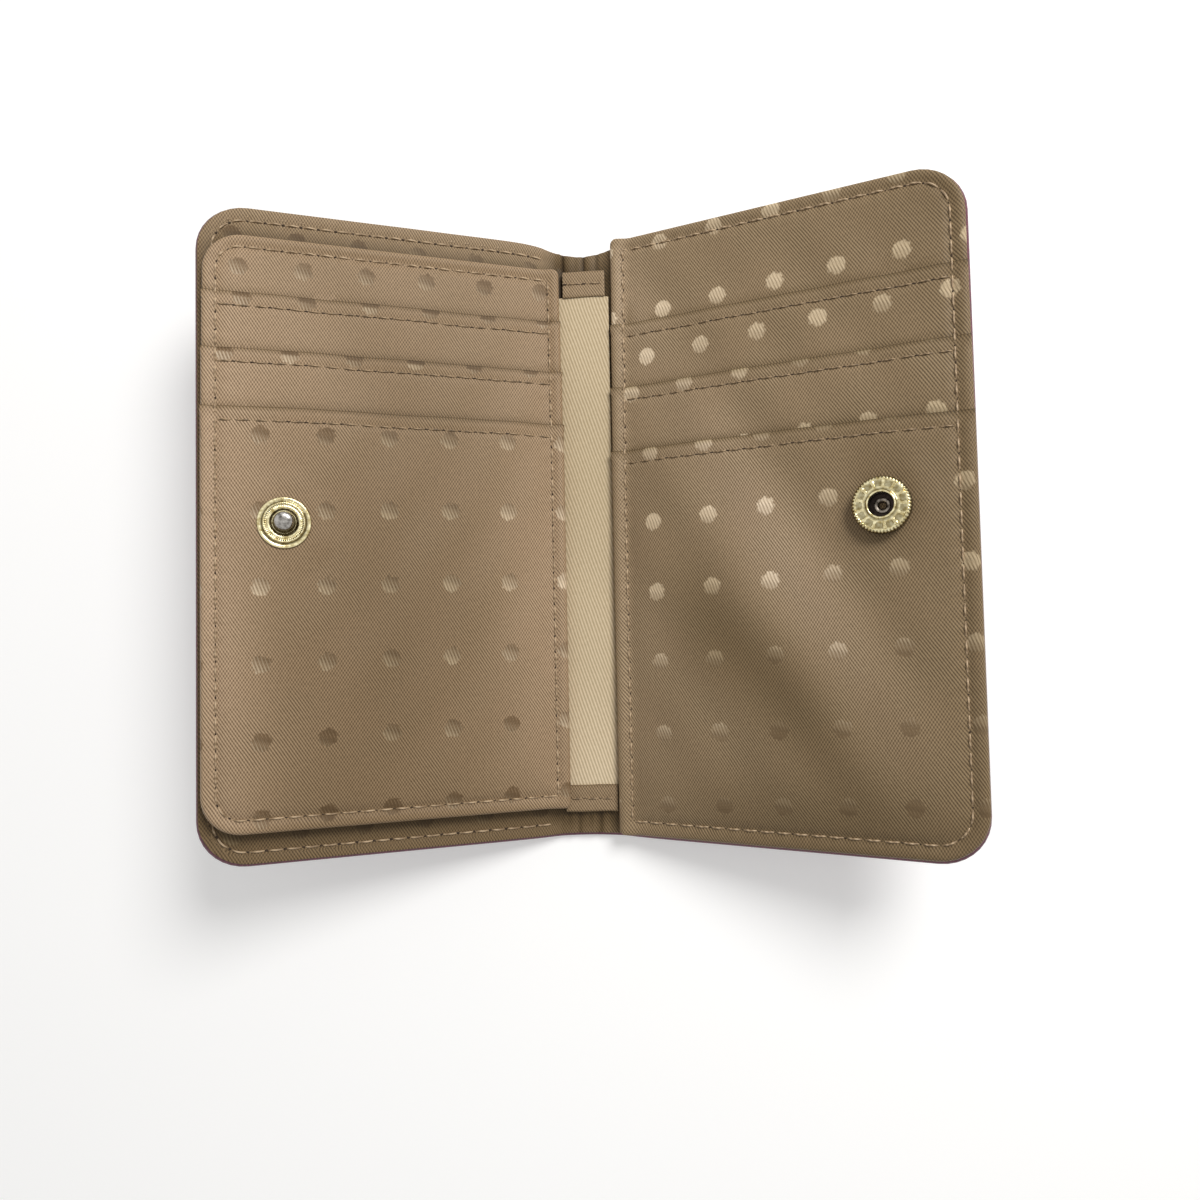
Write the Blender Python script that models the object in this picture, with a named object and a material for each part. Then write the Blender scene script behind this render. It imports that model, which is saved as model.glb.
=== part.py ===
"""A small bifold wallet, lying open on its spine with both leaves half raised.

The outside is one leather skin round two stiff boards. Inside, the left leaf carries a
separately finished card page over a bill compartment, and the right leaf a card panel that
is sewn to the cover all round. A twill strip crosses the spine from the page to the panel,
and a ring snap holds the leaves together when the wallet is closed.

X runs across the spine towards the right leaf, Y along the spine and Z up. The origin is
the middle of the spine's underside. Lengths are in metres.
"""

import math

import bmesh
import bpy

# Cover: its height along the spine, each leaf from the fold to the free edge, and the spine
COVER_HEIGHT = 0.112
LEAF_WIDTH = 0.0615
SPINE_WIDTH = 0.014
COVER_CORNER_RADIUS = 0.008
REST_ANGLE = math.radians(22.0)

# Layers of the cover, from the outside in
LEATHER_THICKNESS = 0.0010
BOARD_THICKNESS = 0.0007
LINING_THICKNESS = 0.0003
LAYER_GAP = 0.0001
TURNED_EDGE_WIDTH = 0.0012
EDGE_ROUNDING = 0.0003

# Fold between the spine and each leaf
FOLD_REACH = 0.0015
FOLD_CLEARANCE = 0.0002

# Card layers on both leaves
POCKET_THICKNESS = 0.0004
POCKET_ROUNDING = 0.00012
HEM_STITCH_INSET = 0.00235
LAYERS_START = 0.0030

# Card page on the left leaf, over the bill compartment
BILL_ROOM = 0.0011
PAGE_TOP_INSET = 0.0056
PAGE_BOTTOM_INSET = 0.0057
PAGE_FAR_INSET = 0.0010
PAGE_CORNER_RADIUS = 0.0065
PAGE_POCKET_DROPS = (0.0103, 0.0200, 0.0300)
PAGE_SEAM_INSET = 0.0024
PAGE_HEM_START = -0.0016
PAGE_HEM_THICKNESS = 0.0016
PAGE_HEM_HEIGHT = 0.0036

# Card panel on the right leaf
PANEL_POCKET_DROPS = (0.0168, 0.0288, 0.0408)
PANEL_SEAM_INSET = 0.0026
PANEL_HEM_START = -0.0007
PANEL_HEM_THICKNESS = 0.0016
PANEL_HEM_HEIGHT = 0.0024
PANEL_HEM_SEAM = 0.0013

# Spine lining and the twill strip with its bound ends
PLEAT_COUNT = 5
PLEAT_HEIGHT = 0.00042
LINING_END_INSET = 0.0006
STRIP_SIDE_INSET = 0.0020
STRIP_TOP_INSET = 0.0059
STRIP_BOTTOM_INSET = 0.0047
STRIP_THICKNESS = 0.0003
STRIP_HEIGHT = 0.00235
BINDING_WIDTH = 0.0050
BINDING_THICKNESS = 0.0003

# Ring snap: its place on each leaf, and the sizes of its stud and socket
SNAP_EDGE_DISTANCE = 0.0141
SNAP_DROP = 0.01425
SNAP_BACK_THICKNESS = 0.0005
SNAP_BACK_RADIUS = 0.0040
SNAP_SEAT_GAP = 0.00005
SHANK_RADIUS = 0.00085
SHANK_CLEARANCE = 0.0002
STUD_RADIUS = 0.0043
STUD_RIM_HEIGHT = 0.0004
STUD_COLLAR_RADIUS = 0.0034
STUD_COLLAR_WIDTH = 0.0009
STUD_COLLAR_HEIGHT = 0.0011
STUD_FLOOR_HEIGHT = 0.0007
POST_HEIGHT = 0.0031
POST_HEAD_RADIUS = 0.0016
POST_NECK_RADIUS = 0.0013
POST_HEAD_HEIGHT = 0.0014
SOCKET_RADIUS = 0.00465
SOCKET_HEIGHT = 0.0022
SOCKET_RIM_ROUNDING = 0.0006
SOCKET_FLOOR = 0.0003
SOCKET_WALL = 0.0004
SOCKET_BORE_RADIUS = 0.00195
SOCKET_CAVITY_RADIUS = 0.0028
SOCKET_LIP_WIDTH = 0.0004
SOCKET_LIP_HEIGHT = 0.0004
SPRING_WIRE_RADIUS = 0.0002
SPRING_OPENING = math.radians(40.0)
EYELET_RADIUS = 0.0013
EYELET_THICKNESS = 0.00025
EYELET_BORE_RADIUS = 0.0005

# Sewing thread
THREAD_RADIUS = 0.0002
THREAD_LIFT = 0.00005
THREAD_RISE = 0.00035

# How finely round shapes are divided
CORNER_STEPS = 6
FOLD_STEPS = 6
PLEAT_STEPS = 8
SNAP_STEPS = 32
SPRING_STEPS = 20

CUT_OVERRUN = 0.001
JOIN_DISTANCE = 0.00001

# Places that follow from the sizes above
HALF_HEIGHT = COVER_HEIGHT / 2
HALF_SPINE = SPINE_WIDTH / 2
AXIS_HEIGHT = LEATHER_THICKNESS / 2
PAGE_TOP = HALF_HEIGHT - PAGE_TOP_INSET
PAGE_BOTTOM = PAGE_BOTTOM_INSET - HALF_HEIGHT
PAGE_FAR_EDGE = LEAF_WIDTH - PAGE_FAR_INSET
PAGE_POCKET_TOPS = [PAGE_TOP - drop for drop in PAGE_POCKET_DROPS]
PANEL_POCKET_TOPS = [HALF_HEIGHT - drop for drop in PANEL_POCKET_DROPS]
STRIP_WIDTH = SPINE_WIDTH - 2 * STRIP_SIDE_INSET
STRIP_TOP = HALF_HEIGHT - STRIP_TOP_INSET
STRIP_BOTTOM = STRIP_BOTTOM_INSET - HALF_HEIGHT
SNAP_DISTANCE = LEAF_WIDTH - SNAP_EDGE_DISTANCE
SNAP_Y = PANEL_POCKET_TOPS[-1] - SNAP_DROP
LEFT = -1
RIGHT = 1


def make_material(name, colour, roughness, metallic=0.0):
    material = bpy.data.materials.new(name)
    material.use_nodes = True
    shader = material.node_tree.nodes["Principled BSDF"]
    shader.inputs["Base Color"].default_value = (*colour, 1.0)
    shader.inputs["Roughness"].default_value = roughness
    shader.inputs["Metallic"].default_value = metallic
    material.diffuse_color = (*colour, 1.0)
    return material


def add_object(name, data, parent, material):
    """Link a mesh or curve under a name, in its parent's frame."""
    new = bpy.data.objects.new(name, data)
    new.parent = parent
    new.data.materials.append(material)
    bpy.context.collection.objects.link(new)
    return new


def add_hinge(name, side):
    """Empty on a fold's axis, turned to the rest angle of its leaf."""
    hinge = bpy.data.objects.new(name, None)
    hinge.location = (side * HALF_SPINE, 0, AXIS_HEIGHT)
    hinge.rotation_euler = (0, -side * REST_ANGLE, 0)
    bpy.context.collection.objects.link(hinge)
    return hinge


def rounded_outline(side, near, far, low, high, near_radius, far_radius):
    """Outline of a flat layer, near its fold and far from it, with rounded corners."""
    corners = (
        (far, low, -1, 1, far_radius, -90),
        (far, high, -1, -1, far_radius, 0),
        (near, high, 1, -1, near_radius, 90),
        (near, low, 1, 1, near_radius, 180),
    )
    points = []
    for x, y, inward_x, inward_y, radius, first_angle in corners:
        if radius == 0:
            points.append((side * x, y))
            continue
        for step in range(CORNER_STEPS + 1):
            angle = math.radians(first_angle + 90 * step / CORNER_STEPS)
            points.append((
                side * (x + inward_x * radius + radius * math.cos(angle)),
                y + inward_y * radius + radius * math.sin(angle),
            ))
    return points


def extruded(name, parent, outline, offset, material):
    """Closed solid from a flat outline of 3-D points, pushed along an offset."""
    shape = bmesh.new()
    face = shape.faces.new([shape.verts.new(point) for point in outline])
    result = bmesh.ops.extrude_face_region(shape, geom=[face])
    moved = [item for item in result["geom"] if isinstance(item, bmesh.types.BMVert)]
    bmesh.ops.translate(shape, verts=moved, vec=offset)
    bmesh.ops.recalc_face_normals(shape, faces=shape.faces)
    mesh = bpy.data.meshes.new(name)
    shape.to_mesh(mesh)
    shape.free()
    return add_object(name, mesh, parent, material)


def round_edges(solid, radius):
    bevel = solid.modifiers.new("Rounded rim", "BEVEL")
    bevel.width = radius
    bevel.segments = 2
    bevel.limit_method = "ANGLE"
    bevel.angle_limit = math.radians(50)


def plate(name, parent, outline, levels, material, rounding):
    """Flat layer between two levels, with its rim rounded."""
    bottom, top = levels
    points = [(x, y, bottom) for x, y in outline]
    solid = extruded(name, parent, points, (0, 0, top - bottom), material)
    if rounding:
        round_edges(solid, rounding)
    return solid


def band_along_spine(name, parent, profile, low, high, material):
    """Solid of one X-Z profile that runs along Y."""
    points = [(x, low, z) for x, z in profile]
    return extruded(name, parent, points, (0, high - low, 0), material)


def turned(name, parent, profile, centre, material):
    """Solid of revolution about an upright axis, from a closed radius-height profile."""
    shape = bmesh.new()
    ring = [shape.verts.new((radius, 0, height)) for radius, height in profile]
    edges = [shape.edges.new((ring[i - 1], ring[i])) for i in range(len(ring))]
    bmesh.ops.spin(
        shape,
        geom=ring + edges,
        axis=(0, 0, 1),
        cent=(0, 0, 0),
        angle=math.tau,
        steps=SNAP_STEPS,
        use_merge=True,
    )
    on_axis = [vertex for vertex in shape.verts if math.hypot(vertex.co.x, vertex.co.y) == 0]
    if on_axis:
        bmesh.ops.remove_doubles(shape, verts=on_axis, dist=JOIN_DISTANCE)
    bmesh.ops.recalc_face_normals(shape, faces=shape.faces)
    mesh = bpy.data.meshes.new(name)
    shape.to_mesh(mesh)
    shape.free()
    mesh.shade_smooth()
    mesh.set_sharp_from_angle(angle=math.radians(40))
    solid = add_object(name, mesh, parent, material)
    solid.location = centre
    return solid


def cut(solid, cutter):
    """Take a hidden cutter's shape out of a solid."""
    cutter.hide_render = True
    cutter.display_type = "WIRE"
    boolean = solid.modifiers.new("Cut", "BOOLEAN")
    boolean.operation = "DIFFERENCE"
    boolean.solver = "EXACT"
    boolean.object = cutter


def thread(name, parent, points, material):
    """Sewing thread along a route of points."""
    curve = bpy.data.curves.new(name, "CURVE")
    curve.dimensions = "3D"
    curve.bevel_depth = THREAD_RADIUS
    curve.bevel_resolution = 1
    curve.use_fill_caps = True
    spline = curve.splines.new("POLY")
    spline.points.add(len(points) - 1)
    for target, point in zip(spline.points, points):
        target.co = (*point, 1.0)
    return add_object(name, curve, parent, material)


def stack_levels(start, thicknesses):
    """Bottom and top of each layer of a stack, with a gap between neighbours."""
    levels = []
    for thickness in thicknesses:
        levels.append((start, start + thickness))
        start += thickness + LAYER_GAP
    return levels


def cover_levels():
    """Levels of the leather, board and lining, measured from the fold's axis."""
    layers = (LEATHER_THICKNESS, BOARD_THICKNESS, LINING_THICKNESS)
    return stack_levels(-AXIS_HEIGHT, layers)


def card_levels(start):
    """Levels of the base and of the rear, middle and front pockets of a card stack."""
    base, rear, middle = stack_levels(start, (POCKET_THICKNESS,) * 3)
    front_start = middle[1] + SNAP_BACK_THICKNESS + 2 * LAYER_GAP
    front = (front_start, front_start + POCKET_THICKNESS)
    return base, rear, middle, front


def build_cover_leaf(side, name, hinge, leather, board, lining):
    """Leather skin with a turned edge, the board in it and the lining over both."""
    near = FOLD_REACH + FOLD_CLEARANCE
    outline = rounded_outline(
        side, near, LEAF_WIDTH, -HALF_HEIGHT, HALF_HEIGHT, 0, COVER_CORNER_RADIUS
    )
    leather_level, board_level, lining_level = cover_levels()
    skin_top = board_level[1]
    skin = plate(
        name + "_leather", hinge, outline, (leather_level[0], skin_top), leather, EDGE_ROUNDING
    )
    board_radius = COVER_CORNER_RADIUS - TURNED_EDGE_WIDTH
    tray = rounded_outline(
        side,
        near - CUT_OVERRUN,
        LEAF_WIDTH - TURNED_EDGE_WIDTH,
        -HALF_HEIGHT + TURNED_EDGE_WIDTH,
        HALF_HEIGHT - TURNED_EDGE_WIDTH,
        0,
        board_radius,
    )
    cutter_levels = (leather_level[1], skin_top + CUT_OVERRUN)
    cut(skin, plate(name + "_tray_cutter", hinge, tray, cutter_levels, board, 0))
    inset = TURNED_EDGE_WIDTH + LAYER_GAP
    board_outline = rounded_outline(
        side,
        near,
        LEAF_WIDTH - inset,
        -HALF_HEIGHT + inset,
        HALF_HEIGHT - inset,
        0,
        board_radius - LAYER_GAP,
    )
    board_levels = (board_level[0], board_level[1] - LAYER_GAP)
    plate(name + "_board", hinge, board_outline, board_levels, board, 0)
    plate(name + "_lining", hinge, outline, lining_level, lining, POCKET_ROUNDING)


def snap_hole_cutter(name, side, hinge, levels, material):
    """Upright drill for the snap's shank through one fabric layer."""
    radius = SHANK_RADIUS + SHANK_CLEARANCE
    bottom = levels[0] - CUT_OVERRUN
    top = levels[1] + CUT_OVERRUN
    profile = [(0, bottom), (radius, bottom), (radius, top), (0, top)]
    centre = (side * SNAP_DISTANCE, SNAP_Y, 0)
    return turned(name, hinge, profile, centre, material)


def build_card_stack(side, name, hinge, start, limits, corner_radius, pocket_tops, fabric):
    """Base fabric and three stepped pockets, the front one with the snap's hole."""
    far, low, high = limits
    base, *pocket_levels = card_levels(start)
    outline = rounded_outline(side, LAYERS_START, far, low, high, 0, corner_radius)
    plate(name + "_base", hinge, outline, base, fabric, POCKET_ROUNDING)
    for label, levels, top in zip(("rear", "middle", "front"), pocket_levels, pocket_tops):
        pocket_outline = pocket_shape(side, far, low, top, corner_radius)
        pocket_name = f"{name}_pocket_{label}"
        pocket = plate(pocket_name, hinge, pocket_outline, levels, fabric, POCKET_ROUNDING)
        if label == "front":
            cutter_name = name + "_snap_hole_cutter"
            cut(pocket, snap_hole_cutter(cutter_name, side, hinge, levels, fabric))


def pocket_shape(side, far, low, top, corner_radius):
    """Pocket with a straight upper edge and one rounded lower corner at its free side."""
    points = [(side * LAYERS_START, top), (side * LAYERS_START, low)]
    for step in range(CORNER_STEPS + 1):
        angle = math.radians(-90 + 90 * step / CORNER_STEPS)
        points.append((
            side * (far - corner_radius + corner_radius * math.cos(angle)),
            low + corner_radius + corner_radius * math.sin(angle),
        ))
    points.append((side * far, top))
    return points


def seam_route(side, limits, inset, corner_radius, pocket_tops, surfaces):
    """Route of the seam round a leaf's three free sides, stepping up onto each pocket."""
    far, low, high = limits
    lift = THREAD_RADIUS + THREAD_LIFT
    radius = corner_radius - inset
    line = far - inset
    near = LAYERS_START + THREAD_RADIUS
    heights = [surface + lift for surface in surfaces]
    route = [(side * near, high - inset, heights[0])]
    for step in range(CORNER_STEPS + 1):
        angle = math.radians(90 - 90 * step / CORNER_STEPS)
        route.append((
            side * (line - radius + radius * math.cos(angle)),
            high - inset - radius + radius * math.sin(angle),
            heights[0],
        ))
    for top, below, above in zip(pocket_tops, heights, heights[1:]):
        route.append((side * line, top + 2 * THREAD_RISE, below))
        route.append((side * line, top + THREAD_RISE, above))
    for step in range(CORNER_STEPS + 1):
        angle = math.radians(-90 * step / CORNER_STEPS)
        route.append((
            side * (line - radius + radius * math.cos(angle)),
            low + inset + radius + radius * math.sin(angle),
            heights[-1],
        ))
    route.append((side * near, low + inset, heights[-1]))
    return route


def build_card_seams(side, name, hinge, start, limits, inset, corner_radius, pocket_tops, cotton):
    """Seam round the card stack and one seam under each pocket's folded edge."""
    far, low, high = limits
    surfaces = [levels[1] for levels in card_levels(start)]
    route = seam_route(side, limits, inset, corner_radius, pocket_tops, surfaces)
    thread(name + "_seam", hinge, route, cotton)
    near = side * (LAYERS_START + THREAD_RADIUS)
    end = side * (far - inset - 4 * THREAD_RADIUS)
    for label, top, surface in zip(("rear", "middle", "front"), pocket_tops, surfaces[1:]):
        y = top - HEM_STITCH_INSET
        height = surface + THREAD_RADIUS + THREAD_LIFT
        points = [(near, y, height), (end, y, height)]
        thread(f"{name}_seam_{label}", hinge, points, cotton)


def build_hem(side, name, hinge, start, height, thickness, low, high, fabric):
    """Turned edge of a card stack, the soft part that crosses the fold."""
    end = LAYERS_START - FOLD_CLEARANCE
    radius = thickness / 2
    profile = [(side * end, height), (side * end, height + thickness)]
    for step in range(FOLD_STEPS + 1):
        angle = math.radians(90 + 180 * step / FOLD_STEPS)
        profile.append((
            side * (start + radius + radius * math.cos(angle)),
            height + radius + radius * math.sin(angle),
        ))
    band_along_spine(name, hinge, profile, low, high, fabric)


def hem_seam_route(side, line, high, low, surface):
    """Seam along a hem, with short ends that meet the seam round the leaf."""
    lift = surface + THREAD_RADIUS + THREAD_LIFT
    end = LAYERS_START - FOLD_CLEARANCE - THREAD_RADIUS
    corners = [(end, high), (line, high), (line, low), (end, low)]
    return [(side * x, y, lift) for x, y in corners]


def build_left_leaf(hinge, materials):
    build_cover_leaf(
        LEFT, "left", hinge, materials["leather"], materials["board"], materials["fabric"]
    )
    lining_top = cover_levels()[2][1]
    page_start = lining_top + BILL_ROOM
    limits = (PAGE_FAR_EDGE, PAGE_BOTTOM, PAGE_TOP)
    outline = rounded_outline(
        LEFT, LAYERS_START, PAGE_FAR_EDGE, PAGE_BOTTOM, PAGE_TOP, 0, PAGE_CORNER_RADIUS
    )
    page_lining = (page_start, page_start + LINING_THICKNESS)
    plate("page_lining", hinge, outline, page_lining, materials["fabric"], POCKET_ROUNDING)
    base_start = page_lining[1] + LAYER_GAP
    build_card_stack(
        LEFT, "page", hinge, base_start, limits, PAGE_CORNER_RADIUS, PAGE_POCKET_TOPS,
        materials["fabric"],
    )
    build_card_seams(
        LEFT, "page", hinge, base_start, limits, PAGE_SEAM_INSET, PAGE_CORNER_RADIUS,
        PAGE_POCKET_TOPS, materials["thread"],
    )
    allowance = rounded_outline(
        LEFT,
        PAGE_FAR_EDGE - PAGE_SEAM_INSET,
        PAGE_FAR_EDGE,
        PAGE_BOTTOM + PAGE_CORNER_RADIUS,
        PAGE_TOP - PAGE_CORNER_RADIUS,
        0,
        0,
    )
    allowance_levels = (lining_top + LAYER_GAP, page_start - LAYER_GAP)
    plate("page_seam_allowance", hinge, allowance, allowance_levels, materials["fabric"], 0)
    build_cover_seam(hinge, lining_top, materials["thread"])
    front_top = card_levels(base_start)[3][1]
    build_stud(hinge, front_top, materials)


def build_cover_seam(hinge, surface, cotton):
    """Seam of the left cover, which runs on below the card page."""
    limits = (LEAF_WIDTH, -HALF_HEIGHT, HALF_HEIGHT)
    allowance_start = PAGE_FAR_EDGE - PAGE_SEAM_INSET
    inset = LEAF_WIDTH - allowance_start + 2 * THREAD_RADIUS
    height = surface + THREAD_RADIUS + THREAD_LIFT
    near = FOLD_REACH + FOLD_CLEARANCE + THREAD_RADIUS
    line = LEAF_WIDTH - inset
    edge = HALF_HEIGHT - PANEL_SEAM_INSET
    radius = COVER_CORNER_RADIUS - PANEL_SEAM_INSET
    route = [(LEFT * near, edge, height)]
    for step in range(2 * CORNER_STEPS + 2):
        quarter = step // (CORNER_STEPS + 1)
        share = step % (CORNER_STEPS + 1) / CORNER_STEPS
        angle = math.radians(90 - 90 * (quarter + share))
        centre_y = edge - radius if quarter == 0 else radius - edge
        route.append((
            LEFT * (line - radius + radius * math.cos(angle)),
            centre_y + radius * math.sin(angle),
            height,
        ))
    route.append((LEFT * near, -edge, height))
    thread("left_cover_seam", hinge, route, cotton)


def build_right_leaf(hinge, materials):
    build_cover_leaf(
        RIGHT, "right", hinge, materials["leather"], materials["board"], materials["fabric"]
    )
    start = cover_levels()[2][1] + LAYER_GAP
    limits = (LEAF_WIDTH, -HALF_HEIGHT, HALF_HEIGHT)
    build_card_stack(
        RIGHT, "panel", hinge, start, limits, COVER_CORNER_RADIUS, PANEL_POCKET_TOPS,
        materials["fabric"],
    )
    build_card_seams(
        RIGHT, "panel", hinge, start, limits, PANEL_SEAM_INSET, COVER_CORNER_RADIUS,
        PANEL_POCKET_TOPS, materials["thread"],
    )
    front_top = card_levels(start)[3][1]
    build_socket(hinge, front_top, materials)


def ring_profile(inner, outer, bottom, top):
    return [(inner, bottom), (outer, bottom), (outer, top), (inner, top)]


def build_stud(hinge, surface, materials):
    """Stud of the snap: base ring on the page, headed post, and ring behind the pocket."""
    centre = (LEFT * SNAP_DISTANCE, SNAP_Y, surface)
    hole = SHANK_RADIUS + SHANK_CLEARANCE
    bottom = SNAP_SEAT_GAP
    collar_inside = STUD_COLLAR_RADIUS - STUD_COLLAR_WIDTH
    base = [
        (hole, bottom),
        (STUD_RADIUS, bottom),
        (STUD_RADIUS, STUD_RIM_HEIGHT),
        (STUD_COLLAR_RADIUS + STUD_COLLAR_WIDTH / 2, STUD_RIM_HEIGHT),
        (STUD_COLLAR_RADIUS, STUD_COLLAR_HEIGHT),
        (collar_inside, STUD_COLLAR_HEIGHT),
        (collar_inside - STUD_COLLAR_WIDTH / 2, STUD_FLOOR_HEIGHT),
        (hole, STUD_FLOOR_HEIGHT),
    ]
    turned("stud_base", hinge, base, centre, materials["brass"])
    shank_end = -(POCKET_THICKNESS + LAYER_GAP + SNAP_BACK_THICKNESS)
    foot = STUD_FLOOR_HEIGHT + SNAP_SEAT_GAP
    head_centre = POST_HEIGHT - POST_HEAD_HEIGHT / 2
    post = [(0, shank_end), (SHANK_RADIUS, shank_end), (SHANK_RADIUS, foot)]
    post.append((POST_NECK_RADIUS, foot))
    post.append((POST_NECK_RADIUS, head_centre - POST_HEAD_HEIGHT / 2))
    for step in range(1, CORNER_STEPS + 1):
        angle = math.radians(-60 + 150 * step / CORNER_STEPS)
        post.append((
            POST_HEAD_RADIUS * math.cos(angle) if step < CORNER_STEPS else 0,
            head_centre + POST_HEAD_HEIGHT / 2 * math.sin(angle),
        ))
    turned("stud_post", hinge, post, centre, materials["steel"])
    ring_top = -(POCKET_THICKNESS + LAYER_GAP)
    ring = ring_profile(hole, SNAP_BACK_RADIUS, ring_top - SNAP_BACK_THICKNESS, ring_top)
    turned("stud_back_ring", hinge, ring, centre, materials["brass"])


def build_socket(hinge, surface, materials):
    """Socket of the snap: hollow ring on the panel, spring wire, eyelet and back ring."""
    centre = (RIGHT * SNAP_DISTANCE, SNAP_Y, surface)
    hole = SHANK_RADIUS + SHANK_CLEARANCE
    bottom = SNAP_SEAT_GAP
    floor_top = bottom + SOCKET_FLOOR
    ceiling = SOCKET_HEIGHT - SOCKET_WALL
    lip_top = SOCKET_HEIGHT + SOCKET_LIP_HEIGHT
    rounding = SOCKET_RIM_ROUNDING
    case = [(hole, bottom), (SOCKET_RADIUS - rounding, bottom)]
    for step in range(CORNER_STEPS + 1):
        angle = math.radians(-90 + 180 * step / CORNER_STEPS)
        case.append((
            SOCKET_RADIUS - rounding + rounding * math.cos(angle),
            (bottom + SOCKET_HEIGHT) / 2 + (SOCKET_HEIGHT - bottom) / 2 * math.sin(angle),
        ))
    case.pop(2)
    case += [
        (SOCKET_BORE_RADIUS + 2 * SOCKET_LIP_WIDTH, SOCKET_HEIGHT),
        (SOCKET_BORE_RADIUS + SOCKET_LIP_WIDTH, lip_top),
        (SOCKET_BORE_RADIUS, lip_top),
        (SOCKET_BORE_RADIUS, ceiling),
        (SOCKET_CAVITY_RADIUS, ceiling),
        (SOCKET_CAVITY_RADIUS, floor_top),
        (hole, floor_top),
    ]
    turned("socket_case", hinge, case, centre, materials["brass"])
    build_spring(hinge, centre, ceiling, materials["steel"])
    flange_bottom = floor_top + SNAP_SEAT_GAP
    flange_top = flange_bottom + EYELET_THICKNESS
    shank_end = -(POCKET_THICKNESS + LAYER_GAP + SNAP_BACK_THICKNESS)
    eyelet = [
        (EYELET_BORE_RADIUS, shank_end),
        (SHANK_RADIUS, shank_end),
        (SHANK_RADIUS, flange_bottom),
        (EYELET_RADIUS, flange_bottom),
        (EYELET_RADIUS, flange_top),
        (EYELET_BORE_RADIUS, flange_top),
    ]
    turned("socket_eyelet", hinge, eyelet, centre, materials["steel"])
    ring_top = -(POCKET_THICKNESS + LAYER_GAP)
    ring = ring_profile(hole, SNAP_BACK_RADIUS, ring_top - SNAP_BACK_THICKNESS, ring_top)
    turned("socket_back_ring", hinge, ring, centre, materials["brass"])


def build_spring(hinge, centre, ceiling, steel):
    """Open ring of spring wire under the socket's ceiling, round the post's head."""
    radius = SOCKET_BORE_RADIUS + SPRING_WIRE_RADIUS
    height = centre[2] + ceiling - SNAP_SEAT_GAP - SPRING_WIRE_RADIUS
    sweep = math.tau - SPRING_OPENING
    points = []
    for step in range(SPRING_STEPS + 1):
        angle = SPRING_OPENING / 2 + sweep * step / SPRING_STEPS
        x = centre[0] + radius * math.cos(angle)
        y = centre[1] + radius * math.sin(angle)
        points.append((x, y, height))
    spring = thread("socket_spring", hinge, points, steel)
    spring.data.bevel_depth = SPRING_WIRE_RADIUS


def pleated_profile(half_width, bottom, thickness):
    """Wavy section of the spine lining, with its pleats side by side."""
    steps = PLEAT_COUNT * PLEAT_STEPS
    lower = []
    for step in range(steps + 1):
        x = half_width * (2 * step / steps - 1)
        wave = PLEAT_HEIGHT / 2 * (1 - math.cos(math.tau * step / PLEAT_STEPS))
        lower.append((x, bottom + wave))
    upper = [(x, z + thickness) for x, z in reversed(lower)]
    return lower + upper


def fold_profile(side, levels):
    """Arc section of a cover layer across its fold, tangent to spine and leaf."""
    radius = FOLD_REACH / math.tan(REST_ANGLE / 2)
    centre_x = HALF_SPINE - FOLD_REACH
    centre_z = AXIS_HEIGHT + radius
    profile = []
    for level, order in ((levels[0], 1), (levels[1], -1)):
        arc = []
        for step in range(FOLD_STEPS + 1):
            angle = REST_ANGLE * step / FOLD_STEPS
            x = centre_x + (radius - level) * math.sin(angle)
            arc.append((side * x, centre_z - (radius - level) * math.cos(angle)))
        profile += arc[::order]
    return profile


def build_folds(side, name, leather, fabric):
    """Soft stretches of leather and lining between the spine and a leaf."""
    leather_level, _, lining_level = cover_levels()
    leather_profile = fold_profile(side, leather_level)
    band_along_spine(
        name + "_leather_fold", None, leather_profile, -HALF_HEIGHT, HALF_HEIGHT, leather
    )
    end = HALF_HEIGHT - LINING_END_INSET
    band_along_spine(
        name + "_lining_fold", None, fold_profile(side, lining_level), -end, end, fabric
    )


def build_binding(name, end, direction, fabric):
    """Fabric folded round one end of the twill strip."""
    middle = STRIP_HEIGHT + STRIP_THICKNESS / 2
    inner = STRIP_THICKNESS / 2 + LAYER_GAP
    outer = inner + BINDING_THICKNESS
    mouth = end - direction * BINDING_WIDTH
    half_width = STRIP_WIDTH / 2
    section = [
        (mouth, middle - outer),
        (end - direction * outer, middle - outer),
        (end, middle - outer / 2),
        (end, middle + outer / 2),
        (end - direction * outer, middle + outer),
        (mouth, middle + outer),
        (mouth, middle + inner),
        (end - direction * BINDING_THICKNESS, middle + inner),
        (end - direction * BINDING_THICKNESS, middle - inner),
        (mouth, middle - inner),
    ]
    points = [(-half_width, y, z) for y, z in section]
    extruded(name, None, points, (STRIP_WIDTH, 0, 0), fabric)


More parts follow.
